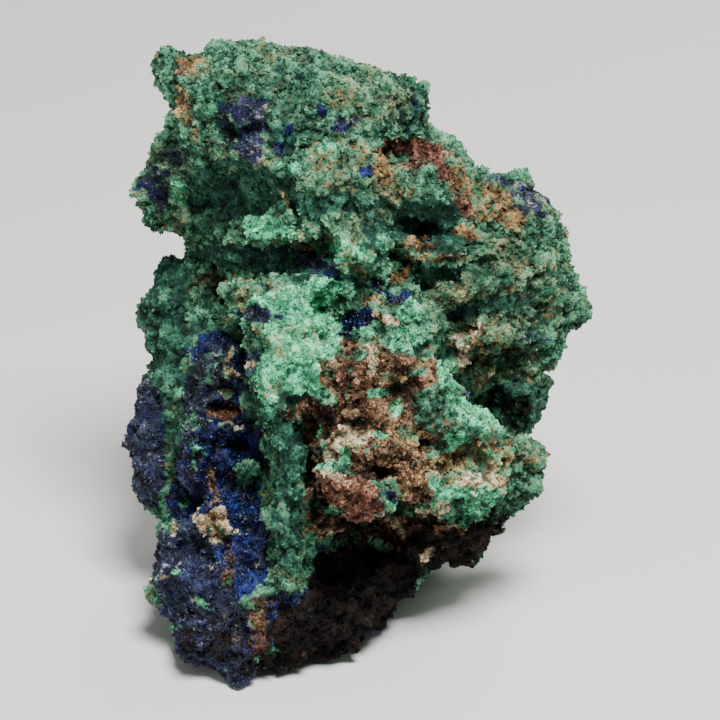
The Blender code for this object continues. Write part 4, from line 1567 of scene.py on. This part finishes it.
    def grounded(self, tree: ShapeTree, geometry: Socket) -> Socket:
        """Keep every point at or above the ground.

        Args:
            tree: the tree.
            geometry: the geometry's socket.

        Returns:
            The geometry's socket.
        """
        under = tree.math("MAXIMUM", tree.math("MULTIPLY", tree.altitude(), -1.0), 0.0)
        up = tree.add("ShaderNodeCombineXYZ")
        tree.feed(up.inputs[2], under)
        return tree.moved(geometry, up.outputs[0])

    def build(self) -> bpy.types.Object:
        """The finished rock.

        Returns:
            The rock's object.
        """
        obj = self.refined()
        self.share_minerals(obj.data)
        material = self.finish.material()
        self.relief_tree(material).fit(obj, self.sizes())
        real_mesh(obj)
        thin = obj.modifiers.new("thin out", "DECIMATE")
        thin.ratio = min(1.0, MOST_TRIANGLES / triangles(obj.data))
        mesh = real_mesh(obj)
        mesh.shade_smooth()
        wear_only(mesh, material)
        return obj


# ---------------------------------------------------------------------------------------- the grains


# A little over half a turn, in radians, so a grain may be turned any way.
ANY_TURN = 3.2


@dataclass(frozen=True)
class GrainForm:
    """A grain's form: its sides, how far its corners stray, how far it leans and how long it is."""

    sides: int
    jolt: float
    lean: float = ANY_TURN
    longer: float = 0.9


FORMS: dict[GrainShape, GrainForm] = {
    GrainShape.BEAD: GrainForm(sides=5, jolt=0.4),
    GrainShape.CRYSTAL: GrainForm(sides=4, jolt=0.2, lean=0.7, longer=1.5),
    GrainShape.CRUMB: GrainForm(sides=5, jolt=0.5),
}


@dataclass
class Druse:
    """Grains or crystals scattered over the rock where their mineral shows.

    The density is in grains a square millimetre, and the size runs from the smallest to the largest
    radius in millimetres.
    """

    name: str
    slot: str
    finish: CrustFinish
    shape: GrainShape
    minerals: tuple[Mineral, ...]
    density: float
    size: Span
    seed: int
    front_gain: float
    kinds: int = 6
    # How rare large grains are, and how the sizes swell and shrink from clump to clump.
    rarity: float = 1.8
    clump_width: float = 2.2 * MM
    clump_least: float = 0.4
    clump_gain: float = 1.2
    mint_finer: float = 0.35
    # The least and most that a grain is stretched, sideways and along.
    sideways: Span = (0.7, 1.2)
    along: Span = (0.7, 1.3)
    # Grains thicken between the first two shares of their minerals. There are up to front_gain times as
    # many as the skin turns to the front, and none on the lowest stretch.
    showing: Span = (0.25, 0.7)
    facing: Span = (-0.4, 0.2)
    foot: Span = (0.9 * MM, 1.6 * MM)

    def sizes(self) -> dict[str, float]:
        """The scatter's sizes.

        Returns:
            Each size in metres, the gain and the seed, by the name of the tree's input that takes it.
        """
        smallest, largest = self.size
        return {
            "Density": self.density / (MM * MM), "Smallest": smallest * MM, "Largest": largest * MM,
            "Front gain": self.front_gain, "Seed": self.seed,
        }

    def grain(self, tree: ShapeTree) -> Socket:
        """A few odd grains of radius 1, as instances to pick from.

        Args:
            tree: the tree.

        Returns:
            The instances' socket.
        """
        form = FORMS[self.shape]
        several = tree.add("GeometryNodeGeometryToInstance")
        for kind in range(self.kinds):
            ball = tree.add("GeometryNodeMeshUVSphere")
            ball.inputs["Segments"].default_value = form.sides
            ball.inputs["Rings"].default_value = 2
            stray = tree.random_vector((-form.jolt,) * 3, (form.jolt,) * 3, Draw.FORM + kind)
            tree.feed(several.inputs[0], tree.moved(ball.outputs["Mesh"], stray))
        return several.outputs[0]

    def tree(self, material: bpy.types.Material) -> ShapeTree:
        """The tree that scatters the grains.

        Args:
            material: what the grains wear.

        Returns:
            The tree, with its named inputs.
        """
        tree = ShapeTree.started(self.name + " scatter", self.sizes())
        given = tree.given()
        scatter = tree.add("GeometryNodeDistributePointsOnFaces")
        for key, value in (
            ("Mesh", given["Geometry"]), ("Density", self.spread(tree, given)), ("Seed", given["Seed"]),
        ):
            tree.feed(scatter.inputs[key], value)
        place = tree.add("GeometryNodeInstanceOnPoints")
        place.inputs["Pick Instance"].default_value = True
        for key, value in (
            ("Points", scatter.outputs["Points"]), ("Instance", self.grain(tree)),
            ("Rotation", scatter.outputs["Rotation"]), ("Scale", self.scale(tree, given)),
        ):
            tree.feed(place.inputs[key], value)
        grains = self.turned(tree, place.outputs[0])
        tree.end(tree.noted(grains, GRAIN_TINT, tree.random(Draw.TINT), domain="INSTANCE"), material)
        return tree

    def turned(self, tree: ShapeTree, grains: Socket) -> Socket:
        """The grains, each leaning and turned its own way.

        Args:
            tree: the tree.
            grains: the placed instances.

        Returns:
            The turned instances.
        """
        lean = FORMS[self.shape].lean
        turn = tree.add("GeometryNodeRotateInstances")
        tree.feed(turn.inputs["Instances"], grains)
        angles = tree.random_vector((-lean, -lean, -ANY_TURN), (lean, lean, ANY_TURN), Draw.TURN)
        tree.feed(turn.inputs["Rotation"], angles)
        return turn.outputs[0]

    def scale(self, tree: ShapeTree, given: bpy.types.NodeOutputs) -> Socket:
        """Each grain's size, which varies from grain to grain and from clump to clump.

        Args:
            tree: the tree.
            given: the tree's named inputs.

        Returns:
            The scale's socket.
        """
        size = tree.math("POWER", tree.random(Draw.SIZE), self.rarity)
        room = tree.math("SUBTRACT", given["Largest"], given["Smallest"])
        size = tree.math("ADD", given["Smallest"], tree.math("MULTIPLY", size, room))
        clump = tree.noise(tree.position(), self.clump_width).outputs[0]
        clump = tree.math("ADD", self.clump_least, tree.math("MULTIPLY", clump, self.clump_gain))
        size = tree.math("MULTIPLY", size, clump)
        mint = tree.math("MULTIPLY", tree.carried(Mineral.MINT.value), self.mint_finer)
        size = tree.math("MULTIPLY", size, tree.math("SUBTRACT", 1.0, mint))
        longer = FORMS[self.shape].longer
        least, most = ((side, side, end * longer) for side, end in zip(self.sideways, self.along))
        return tree.vector("SCALE", tree.random_vector(least, most, Draw.STRETCH), scale=size)

    def spread(self, tree: ShapeTree, given: bpy.types.NodeOutputs) -> Socket:
        """How many grains a square metre there are, from place to place.

        Args:
            tree: the tree.
            given: the tree's named inputs.

        Returns:
            The density's socket.
        """
        share = 0.0
        for mineral in self.minerals:
            share = tree.math("ADD", share, tree.carried(mineral.value))
        share = tree.step(share, *self.showing)
        front = tree.add("ShaderNodeVectorMath", operation="DOT_PRODUCT")
        tree.feed(front.inputs[0], tree.normal())
        tree.feed(front.inputs[1], tuple(GRID.axes()[2]))
        seen = tree.step(front.outputs["Value"], *self.facing)
        gain = tree.mix_number(seen, 1.0, given["Front gain"])
        above = tree.step(tree.altitude(), *self.foot)
        density = tree.math("MULTIPLY", given["Density"], above)
        return tree.math("MULTIPLY", density, tree.math("MULTIPLY", share, gain))

    def build(self, rock: bpy.types.Object) -> bpy.types.Object:
        """The finished grains.

        Args:
            rock: what they grow on.

        Returns:
            The new piece.
        """
        obj = new_object(self.name, rock.data)
        material = self.finish.material()
        self.tree(material).fit(obj, self.sizes())
        mesh = real_mesh(obj)
        wear_only(mesh, material)
        mesh.shade_flat()
        return obj


DRUSES = (
    Druse(
        name="malachite_beads", slot="malachite",
        finish=CrustFinish("malachite_beads", gloss=0.15, tint=0.8),
        shape=GrainShape.BEAD, minerals=(Mineral.MALACHITE, Mineral.MINT, Mineral.OLIVE),
        density=0.3, size=(0.24, 0.6), seed=3, front_gain=5.0,
    ),
    Druse(
        name="malachite_grit", slot="malachite",
        finish=CrustFinish("malachite_grit", gloss=0.15, tint=0.8),
        shape=GrainShape.BEAD, minerals=(Mineral.MALACHITE, Mineral.MINT, Mineral.OLIVE, Mineral.DEEP),
        density=0.3, size=(0.17, 0.42), seed=4, front_gain=4.0,
    ),
    Druse(
        name="azurite_crystals", slot="azurite",
        finish=CrustFinish("azurite_crystals", gloss=0.5, tint=0.6, roughness_shift=-0.1),
        shape=GrainShape.CRYSTAL, minerals=(Mineral.AZURITE, Mineral.DUST),
        density=1.3, size=(0.13, 0.33), seed=5, front_gain=2.5,
    ),
    Druse(
        name="ironstone_crumbs", slot="ironstone",
        finish=CrustFinish("ironstone_crumbs", gloss=0.1, tint=0.8),
        shape=GrainShape.CRUMB,
        # The crumbs also grow where painted shade is laid.
        minerals=(Mineral.IRON, Mineral.RUST, Mineral.OCHRE, Mineral.CREAM, Mineral.PAINTED_SHADE),
        density=0.75, size=(0.2, 0.55), seed=6, front_gain=2.5,
    ),
)


# ---------------------------------------------------------------------------------------- the studio


@dataclass(frozen=True)
class Lamp:
    """A square soft light, with its place, the place that it faces and its side in metres."""

    name: str
    at: Axes
    side: float
    watts: float
    facing: Axes = (0, 0, 0.05)

    def hang(self) -> None:
        """Put the light in the scene."""
        light = bpy.data.lights.new(self.name, "AREA")
        light.size = self.side
        light.energy = self.watts
        aim = Vector(self.facing) - Vector(self.at)
        turn = aim.to_track_quat("-Z", "Y").to_matrix().to_4x4()
        new_object(self.name, light).matrix_world = Matrix.Translation(self.at) @ turn


@dataclass
class Studio:
    """A plain pale floor, soft lights and the camera."""

    floor_side: float = 3.0
    floor_gap: float = 0.2 * MM
    floor_finish: PlainFinish = PlainFinish("pale_floor", (0.72, 0.71, 0.69, 1), 0.9)
    lamps: tuple[Lamp, ...] = (
        Lamp("key", (0.12, -0.34, 0.72), side=0.3, watts=14.0),
        Lamp("fill", (-0.7, -0.5, 0.3), side=0.6, watts=1.5),
        Lamp("back", (0.25, 0.75, 0.45), side=0.6, watts=5.0),
    )
    sky: float = 0.18
    sensor: float = 36.0
    clip_start: float = 0.01

    def floor(self) -> bpy.types.Object:
        """The pale floor, a hair below the rock.

        Returns:
            The floor's object.
        """
        shape = bmesh.new()
        bmesh.ops.create_grid(shape, x_segments=1, y_segments=1, size=self.floor_side / 2)
        bmesh.ops.translate(shape, verts=shape.verts, vec=(0, 0, -self.floor_gap))
        mesh = bpy.data.meshes.new("floor")
        shape.to_mesh(mesh)
        shape.free()
        wear_only(mesh, self.floor_finish.material())
        return new_object("floor", mesh)

    def lights(self) -> None:
        """The lamps, and an even white sky."""
        for lamp in self.lamps:
            lamp.hang()
        world = bpy.data.worlds.new("studio")
        world.use_nodes = True
        background = world.node_tree.nodes["Background"]
        background.inputs["Color"].default_value = WHITE
        background.inputs["Strength"].default_value = self.sky
        bpy.context.scene.world = world

    def camera(self) -> None:
        """The camera, straight out from the face's middle."""
        data = bpy.data.cameras.new("camera")
        data.sensor_width = self.sensor
        data.lens = self.sensor * GRID.eye_out / GRID.view_width
        data.clip_start = self.clip_start
        camera = new_object("camera", data)
        turn = Matrix([Vector(axis) for axis in GRID.axes()]).transposed().to_4x4()
        camera.matrix_world = Matrix.Translation(GRID.world(0, GRID.middle_up, GRID.eye_out)) @ turn
        bpy.context.scene.camera = camera

    def build(self) -> None:
        """Set the studio up."""
        self.camera()
        self.lights()
        self.floor()


def report(piece: bpy.types.Object) -> None:
    """Hang a finished piece on the frame and log it.

    Args:
        piece: the piece.
    """
    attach(piece, BODY)
    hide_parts(NODE)
    log.info("%s: %d triangles", piece.name, triangles(piece.data))


def main() -> None:
    """Build the studio, the rock and its grains."""
    logging.basicConfig(level=logging.INFO, format="%(name)s %(message)s")
    Studio().build()
    skin = RockSkin()
    rock = skin.build()
    grains = [(druse.build(rock), druse.slot) for druse in DRUSES]
    report(rock)
    for piece, slot in grains:
        report(piece)


if __name__ == "__main__":
    main()
